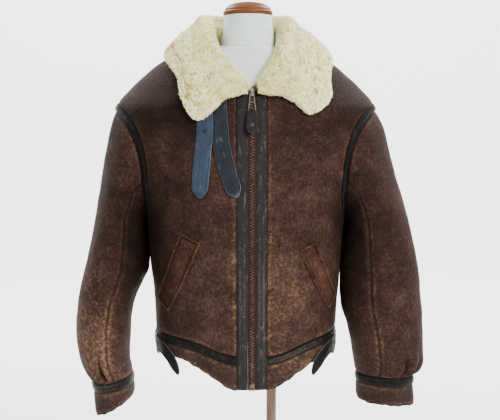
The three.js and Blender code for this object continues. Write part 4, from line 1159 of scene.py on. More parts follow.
def make_pull():
    """The wire loop, with a bar across it, and its leather tab."""
    foot = PULLER_LENGTH - PULLER_WIRE / 2
    half = ((3.1, 0.0), (3.4, 3.0), (5.1, 22), (6.9, foot - 3.4), (6.4, foot - 1.0), (4.6, foot))
    corners = tuple((-x, down) for x, down in half) + ((0, foot),) + half[::-1]
    path = []
    for (x0, d0), (x1, d1) in zip(corners, corners[1:] + corners[:1]):
        steps = 6 if abs(d1 - d0) > 8 else 3
        path += [pull_point(mix(x0, x1, k / steps), mix(d0, d1, k / steps)) for k in range(steps)]
    gathered = Joined()
    gathered.add(*tube(path, PULLER_WIRE / 2 - 0.05, 10, True, PULL_OUT))
    bar = [pull_point(mix(-5.0, 5.0, k / 8), 22) for k in range(9)]
    gathered.add(*tube(bar, 0.85, 8, False, (0, -1, 0.3)))
    gathered.make("pull_loop", STEEL, "steel_zip", PULL, stands_for=("zip_puller",))
    make_tab()


def plug(rings):
    """A short solid between two rings of points."""
    top, low = rings
    return top + low, [face[::-1] for face in bar_faces(2, len(top))]


TAB_HALF_WIDTH = 10.5
TAB_TOP = PULLER_LENGTH - PULLER_WIRE - 5.4
TAB_LENGTH = 50
TAB_EYE = TAB_TOP + TAB_LENGTH - 16
# The tab's levels from its front eyelet round the edge to the back: share of the way out, distance out
TAB_LEVELS = (
    (0, 0.6), (0.15, 1.0), (0.5, 1.15), (0.82, 1.1), (0.93, 0.95), (1, 0.3), (1, -0.5), (0.9, -1.1),
    (0.5, -1.1), (0, -0.9),
)


def tab_point(x, down, out):
    """A point of the bowed tab."""
    bow = 2.3 + 0.5 * math.sin((down - TAB_TOP) / TAB_LENGTH * math.pi)
    return pull_point(x, down, bow + out)


def tab_circle(radius, out):
    """A level circle round the tab's eyelet."""
    eye_bow = tab_point(0, TAB_EYE, out) - pull_point(0, TAB_EYE)
    turns = np.linspace(0, 2 * np.pi, 21)[:-1]
    return [pull_point(radius * math.cos(t), TAB_EYE + radius * math.sin(t)) + eye_bow for t in turns]


def make_tab():
    """The leather tab: folded over the loop's foot, stitched round its edge, with an eyelet."""
    half = TAB_HALF_WIDTH
    right = [(5.6, 0), (7.6, 6), (half, 14)] + [(half, 20 + k * 4) for k in range(5)]
    left = [(-x, down) for x, down in reversed(right)]
    round_end = [(half * math.cos(math.radians(t)), TAB_LENGTH - half + half * math.sin(math.radians(t)))
                 for t in range(0, 181, 15)]
    loop = np.array(right + round_end + left) + (0, TAB_TOP)
    centre = np.array([0, TAB_EYE])
    count = len(loop)
    bearing = np.arctan2(loop[:, 1] - centre[1], loop[:, 0] - centre[0])
    ring = centre + 1.8 * np.stack([np.cos(bearing), np.sin(bearing)], axis=-1)
    rows = [[tab_point(x, down, out) for x, down in mix(ring, loop, share)] for share, out in TAB_LEVELS]
    made = piece("pull_tab", rows, hoop_faces(len(rows), count), (TAB,), "black_leather", PULL,
                 stands_for=("zip_pull_tab",), sharp=50)
    # The tab's rim is rubbed
    edge = np.zeros((len(rows), count))
    edge[4:7] = 0.5
    edge[5] = 0.9
    paint(made, "wear_and_painted_light", edge)
    line = [tab_point(x, down, 1.15) for x, down in mix(ring, loop, 0.84)]
    threads = Joined()
    threads.add(*stitch_row(line, np.repeat([PULL_OUT], count, axis=0), 2.7, 1.8, 0.32))
    threads.make("pull_tab_stitches", THREAD, "black_leather", PULL)
    eyelet = Joined()
    eyelet.add(*tube(tab_circle(2.7, 1.2), 1.05, 8, True, PULL_OUT))
    eyelet.make("pull_tab_eyelet", PEWTER, "steel_zip", PULL)
    # Painted shade inside the tab's eyelet
    hole_shade = Joined()
    hole_shade.add(*plug([tab_circle(2.1, 1.25), tab_circle(2.1, 0.5)]))
    hole_shade.make("pull_tab_hole_shade", HOLE_SHADE, "black_leather", PULL)


# Tapes, sleeves and cuffs

STITCHES = Joined()


def sew_body(angle, z, out, pitch=4.4, **more):
    """A row of stitches on the body along lists of angles and heights."""
    points = body_point(angle, z, np.full(len(angle), float(out)))
    STITCHES.add(*stitch_row(points, body_normal(angle, z), pitch, **more))


def make_armhole_tapes():
    """The tape round each armhole, with two rows of stitches on its flat half."""
    turns = np.linspace(0, 360, 181)[:-1]
    for name, side in (("left", -1), ("right", 1)):
        across = TAPE_WIDTH * spaced(7, TAPE_WIDTH, (0.6, 1.4, 2.4))
        angle, z = armhole(side, turns[None, :], across[:, None])
        # A cord under the leather swells the inner half, and a groove parts it from the flat half
        cord = 1.3 * np.exp(-((across - 4.2) / 2.6) ** 2)
        swell = cord - 0.5 * np.exp(-((across - 8.4) / 0.9) ** 2)
        rise = 1.0 + swell[:, None] + 0 * angle
        base = body_surface(angle, z)
        normals = body_normal(angle, z)
        relief = body_relief(base, normals)
        away = edge_distance(base, True)
        outer = base + normals * (rise + relief + seam_dip(away, 0.8, 2))[..., None]
        inner = base + normals * (relief - WALL + 1)[..., None]
        panel(f"armhole_tape_{name}", (BLACK, BLACK), "black_leather", outer, inner, normals, True, 0.05,
              side < 0)
        for width in (9.9, 12.4):
            row_angle, row_z = armhole(side, np.append(turns, 360), width)
            sew_body(row_angle, row_z, 0.95, 4.0)


SLEEVE_COLUMNS = ("row", "outer_x", "outer_z", "inner_x", "inner_z", "depth", "y")


def numbered(rows):
    """A sleeve's rings from the armhole down: the photo's outer and inner outlines, depth and middle."""
    return table(SLEEVE_COLUMNS, [(k, *row) for k, row in enumerate(rows)])


SLEEVE_LEFT = numbered((
    (271, 1230, 212, 1018, 76, 4), (283, 1199, 213, 1012, 84, 2), (293, 1150, 213, 1004, 89, 0),
    (303, 1090, 213, 992, 91, -2), (313, 1035, 212, 973, 90, -4), (322, 985, 211, 943, 88, -6),
    (334, 935, 212, 908, 86, -8), (346, 880, 223, 880, 83, -10), (356, 835, 240, 838, 80, -12),
    (360, 790, 248, 786, 78, -13), (358, 750, 251, 742, 76, -14), (352, 716, 250, 712, 72, -14),
    (343, 692, 247, 697, 66, -14), (330, 670, 246, 685, 57, -14),
))
SLEEVE_RIGHT = numbered((
    (253, 1230, 194, 1018, 76, 4), (270, 1199, 195, 1012, 82, 2), (284, 1150, 195, 1004, 84, 0),
    (301, 1090, 194, 992, 83, -2), (317, 1035, 192, 973, 79, -4), (331, 985, 190, 940, 74, -6),
    (343, 935, 188, 900, 70, -8), (351, 885, 187, 862, 67, -10), (356, 835, 189, 832, 64, -12),
    (359, 790, 203, 787, 62, -13), (360, 750, 211, 747, 60, -14), (360, 720, 216, 714, 57, -14),
    (355, 698, 219, 698, 52, -14), (342, 680, 221, 688, 43, -14),
))
CUFF_LEFT = numbered((
    (330, 670, 246, 685, 57, -14), (327, 652, 244, 667, 56, -14), (326, 625, 243, 652, 55, -14),
    (323, 599, 245, 637, 55, -14),
))
CUFF_RIGHT = numbered((
    (342, 680, 221, 688, 43, -14), (341, 663, 222, 671, 43, -14), (343, 643, 222, 652, 43, -14),
    (345, 621, 224, 632, 44, -14),
))
LAST_ROW = len(SLEEVE_LEFT) - 1
UNDER_FROM = 6 * 360 / AROUND_SLEEVE
UNDER_TO = 14 * 360 / AROUND_SLEEVE

# Gathers over each cuff: place round the sleeve, how deep, how wide and how many rows up
PLEATS = table(("side", "turn", "depth", "wide", "rows"), (
    (-1, 86, 19, 6.5, 3.2), (-1, 52, 9, 5, 1.9), (-1, 122, 3.5, 6, 1.6), (-1, 20, 4, 7, 1.5),
    (-1, 288, 11, 7, 3.0), (-1, 236, 5, 6, 2.0), (-1, 330, 4, 7, 1.8),
    (1, 61, 19, 6.5, 3.0), (1, 34, 11, 6, 2.2), (1, 76, 3, 5, 1.4), (1, 8, 4, 7, 1.4),
    (1, 306, 11, 7, 3.0), (1, 252, 4, 7, 1.8), (1, 342, 4, 7, 1.6),
))
# Puffs between the gathers and under the arm: place, height, width, middle row and rows
PUFFS = table(("side", "turn", "height", "wide", "row", "rows"), (
    (-1, 70, 4.5, 12, 12, 1.6), (-1, 108, 3.5, 12, 12, 1.6), (-1, 270, 4, 14, 12, 1.6),
    (-1, 306, 4, 14, 12, 1.6), (1, 47, 6.5, 9, 12, 1.6), (1, 72, 3.5, 12, 12, 1.6),
    (1, 18, 4, 10, 12, 1.4), (1, 322, 4, 14, 12, 1.6), (1, 288, 4, 14, 12, 1.6),
    (-1, 182, 3.6, 30, 4.3, 2.3), (1, 182, 3.4, 30, 4.8, 2.6),
))

SLEEVE_CREASES = table(CREASE_COLUMNS, (
    ("front", -216, 985, -262, 1030, 15, 4.5),
    ("front", -214, 940, -275, 968, 17, 3.5),
    ("front", -222, 1050, -250, 1110, 15, 2.5),
    ("front", -225, 890, -300, 905, 16, 3.4),
    ("front", -238, 858, -318, 862, 17, 3.0),
    ("front", -352, 842, -300, 815, 16, 2.2),
    ("front", -250, 800, -310, 782, 16, 2.4),
    ("front", -346, 745, -312, 728, 12, 2.0),
    ("front", -256, 742, -282, 722, 12, 2.0),
    ("front", 198, 985, 250, 1020, 15, 4.0),
    ("front", 200, 1045, 236, 1092, 14, 2.6),
    ("front", 194, 935, 262, 965, 17, 3.2),
    ("front", 196, 880, 280, 892, 18, 2.8),
    ("front", 206, 835, 268, 820, 16, 2.4),
    ("front", 352, 852, 296, 826, 18, 2.2),
    ("front", 354, 784, 300, 760, 14, 2.6),
    ("front", 224, 745, 262, 728, 13, 1.8),
    ("front", 300, 1060, 262, 1120, 22, 1.4),
    ("back", -216, 985, -268, 1034, 15, 4.2),
    ("back", -214, 935, -280, 962, 17, 3.4),
    ("back", -222, 870, -322, 892, 20, 4.0),
    ("back", -240, 836, -336, 848, 18, 3.2),
    ("back", -246, 792, -318, 782, 16, 2.4),
    ("back", 198, 985, 256, 1026, 15, 4.2),
    ("back", 194, 930, 266, 958, 17, 3.2),
    ("back", 196, 862, 322, 884, 20, 4.0),
    ("back", 204, 826, 334, 842, 18, 3.2),
    ("back", 214, 778, 300, 768, 16, 2.4),
))


def sleeve_ring(side, rows, at, turn):
    """Points of a sleeve's rings; turn counts from the outer edge to the front."""
    value = {name: smooth(rows, "row", name)(at) for name in SLEEVE_COLUMNS[1:]}
    up = np.cos(np.radians(turn))
    x = side * mix((value["outer_x"] + value["inner_x"]) / 2, value["outer_x"], up)
    y = value["y"] - np.sin(np.radians(turn)) * value["depth"]
    z = mix((value["outer_z"] + value["inner_z"]) / 2, value["outer_z"], up)
    return np.stack(np.broadcast_arrays(x, y, z), axis=-1)


FADE = table(("row", "share"), ((0, 1), (1, 0.62), (2, 0.3), (3, 0.1), (4, 0), (LAST_ROW, 0)))
fade_share = smooth(FADE, "row", "share")


def sleeve_base(side, rows, at, turns):
    """The sleeve without its folds. It starts on the armhole's loop."""
    points = sleeve_ring(side, rows, at[:, None], turns[None, :])
    angle, z = armhole(side, turns[None, :], -SEAM)
    move = body_point(angle, z, 0.0) - sleeve_ring(side, rows, np.zeros((1, 1)), turns[None, :])
    return points + fade_share(at)[:, None, None] * move


def turn_gap(turn, place):
    """Degrees from a place to a turn, from -180 to 180."""
    return (turn - place + 180) % 360 - 180


def of_side(rows, side):
    return [row for row in rows if row["side"] == side]


def sleeve_push(side, at, turns, points, normals):
    """How far the folds, pleats and slight unevenness press a sleeve's wall in or out."""
    push = 1.5 * lattice_noise(points, 58, 5) + 0.6 * lattice_noise(points, 21, 6)
    push = push - creased(points, -normals[..., 1], SLEEVE_CREASES)
    push = push * np.clip(at / 1.5, 0, 1)[:, None]
    foot = np.clip((LAST_ROW - at) / 0.8, 0, 1)[:, None]
    push = push * foot
    for row in of_side(PLEATS, side):
        up = np.clip((LAST_ROW - at) / row["rows"], 0, 1)[:, None]
        tall = np.sin(np.pi * up**0.52)
        away = turn_gap(turns[None, :] + 3 * np.sin(5 * up), row["turn"])
        slack = 0.45 * np.exp(-(away / (1.7 * row["wide"])) ** 2)
        groove = slack + 0.55 * np.exp(-np.abs(away / (0.55 * row["wide"])) ** 1.4)
        push = push - row["depth"] * tall * groove
    for row in of_side(PUFFS, side):
        away = turn_gap(turns[None, :], row["turn"])
        tall = np.exp(-((at - row["row"]) / row["rows"]) ** 2)[:, None] * foot
        push = push + row["height"] * tall * np.exp(-(away / row["wide"]) ** 2)
    return push


def around_normals(points, side):
    """Normals of a grid of closed rings."""
    around = np.roll(points, -1, axis=1) - np.roll(points, 1, axis=1)
    return unit(np.cross(around, np.gradient(points, axis=0))) * side


# How far the seams along each sleeve are drawn in, more so on the right one
SLEEVE_SEAM_DIP = {-1: 0.7, 1: 1.3}


def cut_columns(grid, normals, turns, start, end, gap):
    """The columns of a ring grid between two seams, which stand half a gap apart from them."""
    step = turns[1] - turns[0]
    first = int(round(start / step))
    last = int(round(end / step))
    chosen = [j % len(turns) for j in range(first, last + 1)]
    part = grid[:, chosen].copy()
    for edge, towards in ((0, 1), (-1, -2)):
        part[:, edge] += unit(part[:, towards] - part[:, edge]) * gap
    return part, normals[:, chosen]


def make_sleeve(side, name, rows, cuff_rows):
    """A sleeve's two pieces and its cuff."""
    turns = np.arange(0, 360, 2.0)
    at = np.concatenate([LAST_ROW * spaced(120, 620), np.linspace(LAST_ROW - 1.2, LAST_ROW, 14)])
    at = np.unique(at)
    base = sleeve_base(side, rows, at, turns)
    base_normals = around_normals(base, side)
    push = sleeve_push(side, at, turns, base, base_normals)
    wall_outer = base + base_normals * push[..., None]
    normals = around_normals(wall_outer, side)
    thin = np.clip((LAST_ROW - at) / 0.5, 0, 1)[:, None, None]
    inward = unit(mix(base_normals, normals, thin))
    wall_inner = wall_outer - inward * WALL
    angle, z = armhole(side, turns, -SEAM)
    wall_inner[0] = body_point(angle, z, np.full(len(turns), -float(WALL)))
    for part, start, end in (("top", UNDER_TO, UNDER_FROM + 360), ("under", UNDER_FROM, UNDER_TO)):
        outer, facing = cut_columns(wall_outer, normals, turns, start, end, SEAM / 2)
        inner, _ = cut_columns(wall_inner, normals, turns, start, end, SEAM / 2)
        away = edge_distance(outer)
        puckers = 0.5 * lattice_noise(outer, 7, 14) * np.exp(-np.minimum(away, 40) / 9)
        fuzz = 0.8 * lattice_noise(inner, 5, 22) * np.clip(away / 6, 0, 1)
        outer = outer + facing * (seam_dip(away, SLEEVE_SEAM_DIP[side]) + puckers)[..., None]
        inner = inner + facing * fuzz[..., None]
        panel(f"sleeve_{part}_{name}", (SKIN, LINING), "antiqued_skin", outer, inner, facing, flip=side > 0)
    make_cuff(side, name, cuff_rows, turns)


def make_cuff(side, name, rows, turns):
    """A sleeve's tape, with two rows of stitches, and the ragged cuff under it."""
    tape_at = spaced(5, 19, (0.8, 2, 3.5))
    rings = sleeve_ring(side, rows, tape_at[:, None], turns[None, :])
    normals = around_normals(rings, side)
    uneven = 0.5 * lattice_noise(rings, 22, 7)
    away = edge_distance(rings, True)
    swell = 0.9 * np.sin(np.pi * tape_at)[:, None] - 1.1 * np.exp(-(turn_gap(turns, UNDER_TO) / 1.5) ** 2)
    outer = rings + normals * (0.8 + swell + uneven + seam_dip(away, 0.7, 2))[..., None]
    inner = rings - normals * (WALL - 1)
    drop = mix(-SEAM, SEAM, tape_at)[:, None]
    outer[..., 2] += drop
    inner[..., 2] += drop
    panel(f"cuff_tape_{name}", (BLACK, BLACK), "black_leather", outer, inner, normals, True, 0.08, side > 0)
    for share in (0.22, 0.78):
        ring = sleeve_ring(side, rows, np.full((1, 1), share), np.append(turns, 360)[None, :])
        pair = sleeve_ring(side, rows, np.array([[share], [share + 0.1]]), turns[None, :])
        out = around_normals(pair, side)[0]
        out = np.concatenate([out, out[:1]])
        lift = 0.9 + 0.9 * math.sin(math.pi * share) + 0.5 * lattice_noise(ring[0], 22, 7)
        STITCHES.add(*stitch_row(ring[0] + out * lift[:, None], out, 4.2))
    cuff_at = 1 + 2 * spaced(16, 48)
    rings = sleeve_ring(side, rows, cuff_at[:, None], turns[None, :])
    ragged = CUFF_RAGGED * lattice_noise(rings, 9, 33) * (cuff_at[:, None] - 1) / 2
    rings[..., 2] += ragged
    normals = around_normals(rings, side)
    uneven = 0.8 * lattice_noise(rings, 34, 7) * np.clip((cuff_at[:, None] - 1) * 2, 0, 1)
    seam = sum(np.exp(-(turn_gap(turns, place) / 1.6) ** 2) for place in (UNDER_FROM, UNDER_TO))
    away = edge_distance(rings, True)
    outer = rings + normals * (uneven + seam_dip(away, 1.1) - 1.3 * seam[None, :])[..., None]
    inner = rings + normals * (uneven - WALL)[..., None]
    panel(f"cuff_{name}", (BAND, LINING), "waistband_skin", outer, inner, normals, True, 0.05, side > 0)


# The collar

COLLAR = table(("angle", "roll_r", "roll_z", "roll", "thick", "left_z", "right_z"), (
    (0, 106, 1273, 8, 11, 1256, 1256),
    (9, 99, 1291, 9, 12, 1253, 1254),
    (20, 95, 1307, 11, 12.5, 1246, 1253),
    (30, 93, 1323, 12, 13, 1222, 1241),
    (37, 92, 1333, 13, 13.5, 1209, 1222),
    (49, 91, 1352, 15, 14, 1246, 1242),
    (60, 89, 1367, 16, 14, 1290, 1292),
    (75, 87, 1384, 17, 14, 1322, 1328),
    (92, 86, 1394, 18, 14, 1342, 1342),
    (135, 87, 1398, 19, 14, 1322, 1322),
    (180, 89, 1400, 19, 14, 1316, 1316),
))
collar_of = {name: smooth(COLLAR, "angle", name) for name in COLLAR[0] if name != "angle"}

# The collar's middle and half its opening in degrees, and how far its fall stands off the body
COLLAR_CENTRE = 7.0
COLLAR_GAP = 4.4
COLLAR_LIFT = 5
# The form under the fleece is drawn in from its faces by an inset and from its front ends by an angle
FLEECE_INSET = 2.2
COLLAR_START = 0.9
# Sections round each half of the collar, and points round each section
COLLAR_STATIONS = 170
SECTION_POINTS = 150
# The fleece: where the pull presses it, its tufts and its locks
PRESSED_REACH = 24
TUFT_COUNT = 8000
TUFT_SIZE = 3.0
LOCK_COUNT = 9400
LOCK_RADIUS = 1.25

# The rounded rim of the collar's front ends, from its foot: how much it narrows and how far it reaches
COLLAR_RIM = ((0.86, 0.8), (0.55, 1.5), (0.18, 1.9))


def spline(knots, share):
    """A curve through knots, for shares from 0 to 1; it gives the point and the way along."""
    knots = np.asarray(knots, float)
    last = len(knots) - 1
    place = share * last
    k = np.minimum(np.floor(place).astype(int), last - 1)
    t = (place - k)[:, None]
    before, start = knots[np.maximum(k - 1, 0)], knots[k]
    end, after = knots[np.minimum(k + 1, last)], knots[np.minimum(k + 2, last)]
    v0 = (end - before) / 2
    v1 = (after - start) / 2
    a = 2 * start - 2 * end + v0 + v1
    b = -3 * start + 3 * end - 2 * v0 - v1
    return a * t**3 + b * t**2 + v0 * t + start, 3 * a * t**2 + 2 * b * t + v0


def collar_angle(around, side):
    """The body's angle at some degrees round one half of the collar."""
    return COLLAR_CENTRE + side * mix(COLLAR_GAP, 180 - side * COLLAR_CENTRE, around / 180)


def collar_knots(around, side):
    """The collar's section there, up the stand, over the roll and down the fall: radii and heights."""
    angle = collar_angle(around, side)
    roll_r, roll_z = float(collar_of["roll_r"](around)), float(collar_of["roll_z"](around))
    roll, thick = float(collar_of["roll"](around)), float(collar_of["thick"](around))
    edge_z = float(collar_of["left_z" if side < 0 else "right_z"](around))

    def flat(height, out):
        point = body_surface(angle, height) + body_normal(angle, height) * out
        return np.array([math.hypot(point[0] - BODY_X, point[1]), point[2]])

    seam = flat(float(neckline_z(abs(angle))), -WALL / 2)
    base = seam + (-2.5, 3.2)
    edge = flat(edge_z, COLLAR_LIFT + thick / 2)
    out = np.array([roll_r + roll, roll_z])
    return angle, thick, [
        base,
        (mix(base[0], roll_r - roll, 0.6), mix(base[1], roll_z, 0.5)),
        (roll_r - roll, roll_z),
        (roll_r, roll_z + roll),
        out,
        (out + edge) / 2 + 4,
        edge,
    ]


def collar_loop(around, side):
    """One closed section of the collar: up its outer face, round its edge and back inside it."""
    angle, thick, knots = collar_knots(around, side)
    along = np.linspace(0, 1, 46)
    line, way = spline(knots, along)
    way = unit(way)
    across = np.stack([-way[:, 1], way[:, 0]], axis=-1)
    half = thick / 2 - FLEECE_INSET
    end = FLEECE_INSET + half
    outer = line + across * half
    inner = line - across * half
    turn = np.radians(np.arange(-60, 61, 30))[:, None]
    bend = way[-1] * np.cos(turn) - across[-1] * np.sin(turn)
    tip = line[-1] - way[-1] * end + bend * half * 1.6
    keep = along < 1 - end / np.linalg.norm(np.diff(line, axis=0), axis=1).sum()
    loop = np.concatenate([outer[keep], tip, inner[keep][::-1]])
    spots = np.concatenate([along[keep], np.ones(len(tip)), along[keep][::-1]])
    faces_out = np.concatenate([np.ones(keep.sum()), np.zeros(len(tip)), -np.ones(keep.sum())])
    return angle, loop, spots, faces_out


def resampled(loop, values):
    """Evenly spaced points round a closed section, with the values that go with them."""
    closed = np.concatenate([loop, loop[:1]])
    walked = walked_along(closed)
    at = np.arange(SECTION_POINTS) * walked[-1] / SECTION_POINTS
    kept = [np.interp(at, walked, np.append(value, value[0])) for value in values]
    return picked(at, walked, closed), kept


def collar_grid():
    """Closed sections all round the collar: points, their places up it and which way they face."""
    share = np.linspace(0, 1, COLLAR_STATIONS)
    arounds = COLLAR_START + (180 - COLLAR_START) * (0.72 * share + 0.28 * share**2)
    stations = [(around, -1) for around in arounds] + [(around, 1) for around in arounds[-2::-1]]
    points, spots, facing = [], [], []
    for around, side in stations:
        angle, loop, spot, face = collar_loop(around, side)
        loop, (spot, face) = resampled(loop, (spot, face))
        turn = math.radians(angle)
        x = BODY_X + loop[:, 0] * math.sin(turn)
        points.append(np.stack([x, -loop[:, 0] * math.cos(turn), loop[:, 1]], axis=-1))
        spots.append(spot)
        facing.append(face)
    return np.array(points), np.array(spots), np.array(facing)


def tufts(points, seeds, cell):
    """Heights of a curled fleece: each point's place in the lump of its nearest seed."""
    tree = kdtree.KDTree(len(seeds))
    for k, seed in enumerate(seeds):
        tree.insert(seed, k)
    tree.balance()
    heights = np.empty(len(points))
    for k, point in enumerate(points):
        near = tree.find_n(point, 2)
        heights[k] = min((near[1][2] - near[0][2]) / cell, 1.0)
    return heights


def pressed(points):
    """How far the swinging pull presses the fleece down beside the zip."""
    return np.exp(-((points[..., 0] - ZIP_X) / PRESSED_REACH) ** 4)


def collar_rim(section, inside):
    """The rounded rim of a front end: rings from the end's section outwards."""
    away = unit(section - inside)
    middle = (section + section[::-1]) / 2
    return np.array([mix(middle, section, shrink) + away * reach for shrink, reach in COLLAR_RIM])


def make_collar():
    """The turned-down collar: lumps and tufts of fleece over its form, and the seam of its edge strip."""
    points, spots, facing = collar_grid()
    points = np.concatenate([
        collar_rim(points[0], points[3])[::-1], points, collar_rim(points[-1], points[-4])])
    spots, facing = (np.pad(values, ((3, 3), (0, 0)), "edge") for values in (spots, facing))
    rows, count = spots.shape
    normals = around_normals(points, 1)
    middle = points.mean(axis=1, keepdims=True)
    if ((points - middle) * normals).sum() < 0:
        normals = -normals
    flat = points.reshape(-1, 3)
    random = np.random.default_rng(71)
    seeds = flat[random.choice(len(flat), TUFT_COUNT, replace=False)]
    seeds = seeds + random.normal(0, 0.5, seeds.shape)
    lumps = tufts(flat, seeds, TUFT_SIZE).reshape(rows, count)
    coarse = lattice_noise(points, 26, 41)
    medium = lattice_noise(points, 11, 42)
    shown = np.clip(facing + 0.75, 0.25, 1)
    seam = collar_seam(points, spots, facing)
    rugged = 1 + 0.5 * np.clip(points[..., 0] / 60, 0, 1)
    lift = (2.6 * lumps**0.7 - 0.2 + 1.0 * medium * rugged + 1.0 * coarse) * shown - 3.0 * seam
    press = pressed(points)
    lift = lift * (1 - 0.8 * press) - 0.8 * press
    root = np.clip((spots - 0.02) / 0.05, 0, 1)
    fleece = points + normals * (lift * root)[..., None]
    made = piece("collar_fleece", fleece, bar_faces(rows, count), (FLEECE,), "collar_fleece",
                 stands_for=("collar",), sharp=180)
    face_outward(made)
    # Painted shade where the fleece lies low, between its tufts and in the seam of its edge strip, and
    # painted highlight where it stands out
    paint(made, "lift", np.clip(0.05 + 0.95 * lumps**0.8 + 0.2 * medium - 0.6 * seam, 0, 1))
    make_locks(fleece, normals, facing, spots, random)
    make_neck_fleece()


EDGE_STRIP = 22
EDGE_SEAM_WIDTH = 1.5
NECK_ROLL = 6.0
NECK_ROLL_DEPTH = 15.0
NECK_ROLL_SPAN = 17


def collar_seam(points, spots, facing):
    """How deep each point lies in the seam of the edge strip, a strip's width in from the edge."""
    height = np.zeros(spots.shape)
    for i in range(len(points)):
        tip = int(np.argmax(spots[i]))
        walked = walked_along(points[i])
        away = np.abs(walked - walked[tip])
        away = np.minimum(away, walked[-1] - away)
        shown = np.clip((-30 - points[i, :, 0]) / 25, 0, 1) * (facing[i] > 0.5)
        height[i] = np.exp(-((away - EDGE_STRIP - 4) / EDGE_SEAM_WIDTH) ** 2) * shown
    return height


def make_neck_fleece():
    """The roll of fleece that shows between the collar's ends, behind the top of the zip."""
    angles = np.linspace(COLLAR_CENTRE - NECK_ROLL_SPAN, COLLAR_CENTRE + NECK_ROLL_SPAN, 69)
    turns = np.linspace(0, 2 * np.pi, 25)[:-1]
    heights = neckline_z(np.abs(angles)) + 5
    line = body_surface(angles, heights) - body_normal(angles, heights) * NECK_ROLL_DEPTH
    out = unit((line - (BODY_X, 0, 0)) * (1, 1, 0))
    ends = np.sqrt(np.clip(1 - ((angles - COLLAR_CENTRE) / (NECK_ROLL_SPAN + 0.4)) ** 6, 0, 1))
    ring = np.cos(turns)[None, :, None] * out[:, None] + np.sin(turns)[None, :, None] * np.array([0, 0, 1.0])
    points = line[:, None] + ring * (NECK_ROLL * ends)[:, None, None]
    lumps = lattice_noise(points, 3.2, 52)
    points = points + ring * (1.1 * lumps)[..., None]
    faces = bar_faces(len(points), len(turns))
    made = piece("neck_fleece", points, faces, (FLEECE,), "collar_fleece", sharp=180)
    face_outward(made)
    # Painted shade between the roll's lumps and painted highlight on them
    paint(made, "lift", np.clip(0.75 + 0.35 * lumps, 0, 1))


def make_locks(points, normals, facing, spots, random):
    """Small curled locks that stand out of the fleece, thickest where it shows."""
    flat = points.reshape(-1, 3)
    out = normals.reshape(-1, 3)
    shown = np.clip(facing.ravel() + 0.35, 0, 1) * (spots.ravel() > 0.06)
    chosen = random.choice(len(flat), LOCK_COUNT, replace=False, p=shown / shown.sum())
    press = pressed(flat)
    gathered = []
    faces = []
    lock_shading = []
    sides = 3
    rings = 4
    for k in chosen:
        sideways = unit(np.cross(out[k], random.normal(0, 1, 3)))
        other = np.cross(out[k], sideways)
        size = random.uniform(2.2, 3.8) * (1.3 if flat[k][0] > 40 else 1.0)
        size = size * (1 - 0.5 * press[k])
        curl = random.uniform(1.2, 3.6)
        base = len(gathered)
        for ring in range(rings):
            t = ring / (rings - 1)
            place = flat[k] + out[k] * (size * (0.95 * t - 0.35) - 0.3 - 0.5 * press[k])
            place = place + (sideways * math.cos(curl * t) + other * math.sin(curl * t)) * 1.5 * t
            radius = LOCK_RADIUS * (1 - 0.62 * t)
            for side in range(sides):
                turn = 2 * math.pi * side / sides + curl * t
                gathered.append(place + radius * (math.cos(turn) * sideways + math.sin(turn) * other))
                # Each lock is painted darker at its root as painted shade, and paler towards its tip as
                # painted highlight
                lock_shading.append(0.45 + 0.6 * t)
        faces += bar_faces(rings, sides, base)
    made = piece("collar_locks", gathered, faces, (FLEECE,), "collar_fleece", sharp=180)
    paint(made, "lift", lock_shading)


# Straps, welts and buckles

# Straps from their top or from behind: place of the middle line, width, and how far they lie off
COLLAR_STRAP_A = table(("x", "z", "width", "off"), (
    (-84, 1236, 25, 0.4), (-85, 1200, 28, 0.6), (-87, 1165, 29, 0.6), (-91, 1125, 30, 0.7),
    (-94, 1084, 29, 0.7), (-94, 1074, 20, 0.7), (-94, 1066, 5, 0.7),
))
COLLAR_STRAP_B = table(("x", "z", "width", "off"), (
    (-56, 1246, 22, 0.6), (-55, 1210, 25, 0.6), (-54, 1176, 30, 0.9), (-49, 1144, 31, 1.7),
    (-40, 1112, 30, 1.6), (-31, 1084, 29, 1.5), (-27, 1075, 20, 1.5), (-24, 1068, 5, 1.5),
))
SIDE_STRAP = table(("angle", "z", "width", "off"), (
    (130, 756, 10, 2), (125, 756, 30, 2), (118, 756, 34, 2), (111, 756, 34, 2), (104, 756, 34, 2),
    (97, 756, 34, 2), (90, 756, 34, 2), (86, 756, 34, 2),
))
SIDE_TONGUE = table(("angle", "z", "width", "off"), (
    (71.4, 757, 30, 1.5), (67, 756, 30, 1.6), (62, 752, 29, 2.6), (57, 743, 28, 3.5),
    (53.5, 731, 24, 5), (51, 719, 14, 6), (50, 712, 4, 6.5),
))


STRAP_THICK = 2.4
# Shares across half a strap, and how far its edge is rounded down there
STRAP_EDGE = ((0, 0), (0.2, 0), (0.45, 0), (0.7, 0), (0.86, 0), (0.94, -0.12), (0.985, -0.45), (1, -1.1))


def strap_line(rows, side=1):
    """A strap's middle line in small steps: its angles, heights, widths and how far it lies off."""
    places = [dict(row, at=k) for k, row in enumerate(rows)]
    for row in places:
        row["angle"] = side * row["angle"] if "angle" in row else float(angle_at(row["x"], row["z"]))
    fine = np.linspace(0, len(rows) - 1, 12 * (len(rows) - 1) + 1)
    return {name: smooth(places, "at", name)(fine) for name in ("angle", "z", "width", "off")}


def strap_place(line, across):
    """Angles and heights on a strap at some shares across it, from -1 to 1."""
    radius = np.hypot(*(body_surface(line["angle"], line["z"]) - (BODY_X, 0, 0))[:, :2].T)
    run = np.radians(np.gradient(line["angle"])) * radius
    rise = np.gradient(line["z"])
    length = np.hypot(run, rise)
    reach = np.asarray(across, float) * line["width"][:, None] / 2
    angle = line["angle"][:, None] + np.degrees(reach * (rise / length / radius)[:, None])
    return angle, line["z"][:, None] - reach * (run / length)[:, None]


def strap_grid(line, across, out):
    """Points and normals of a strap, some distance out."""
    angle, z = strap_place(line, across)
    return body_point(angle, z, line["off"][:, None] + out), body_normal(angle, z)


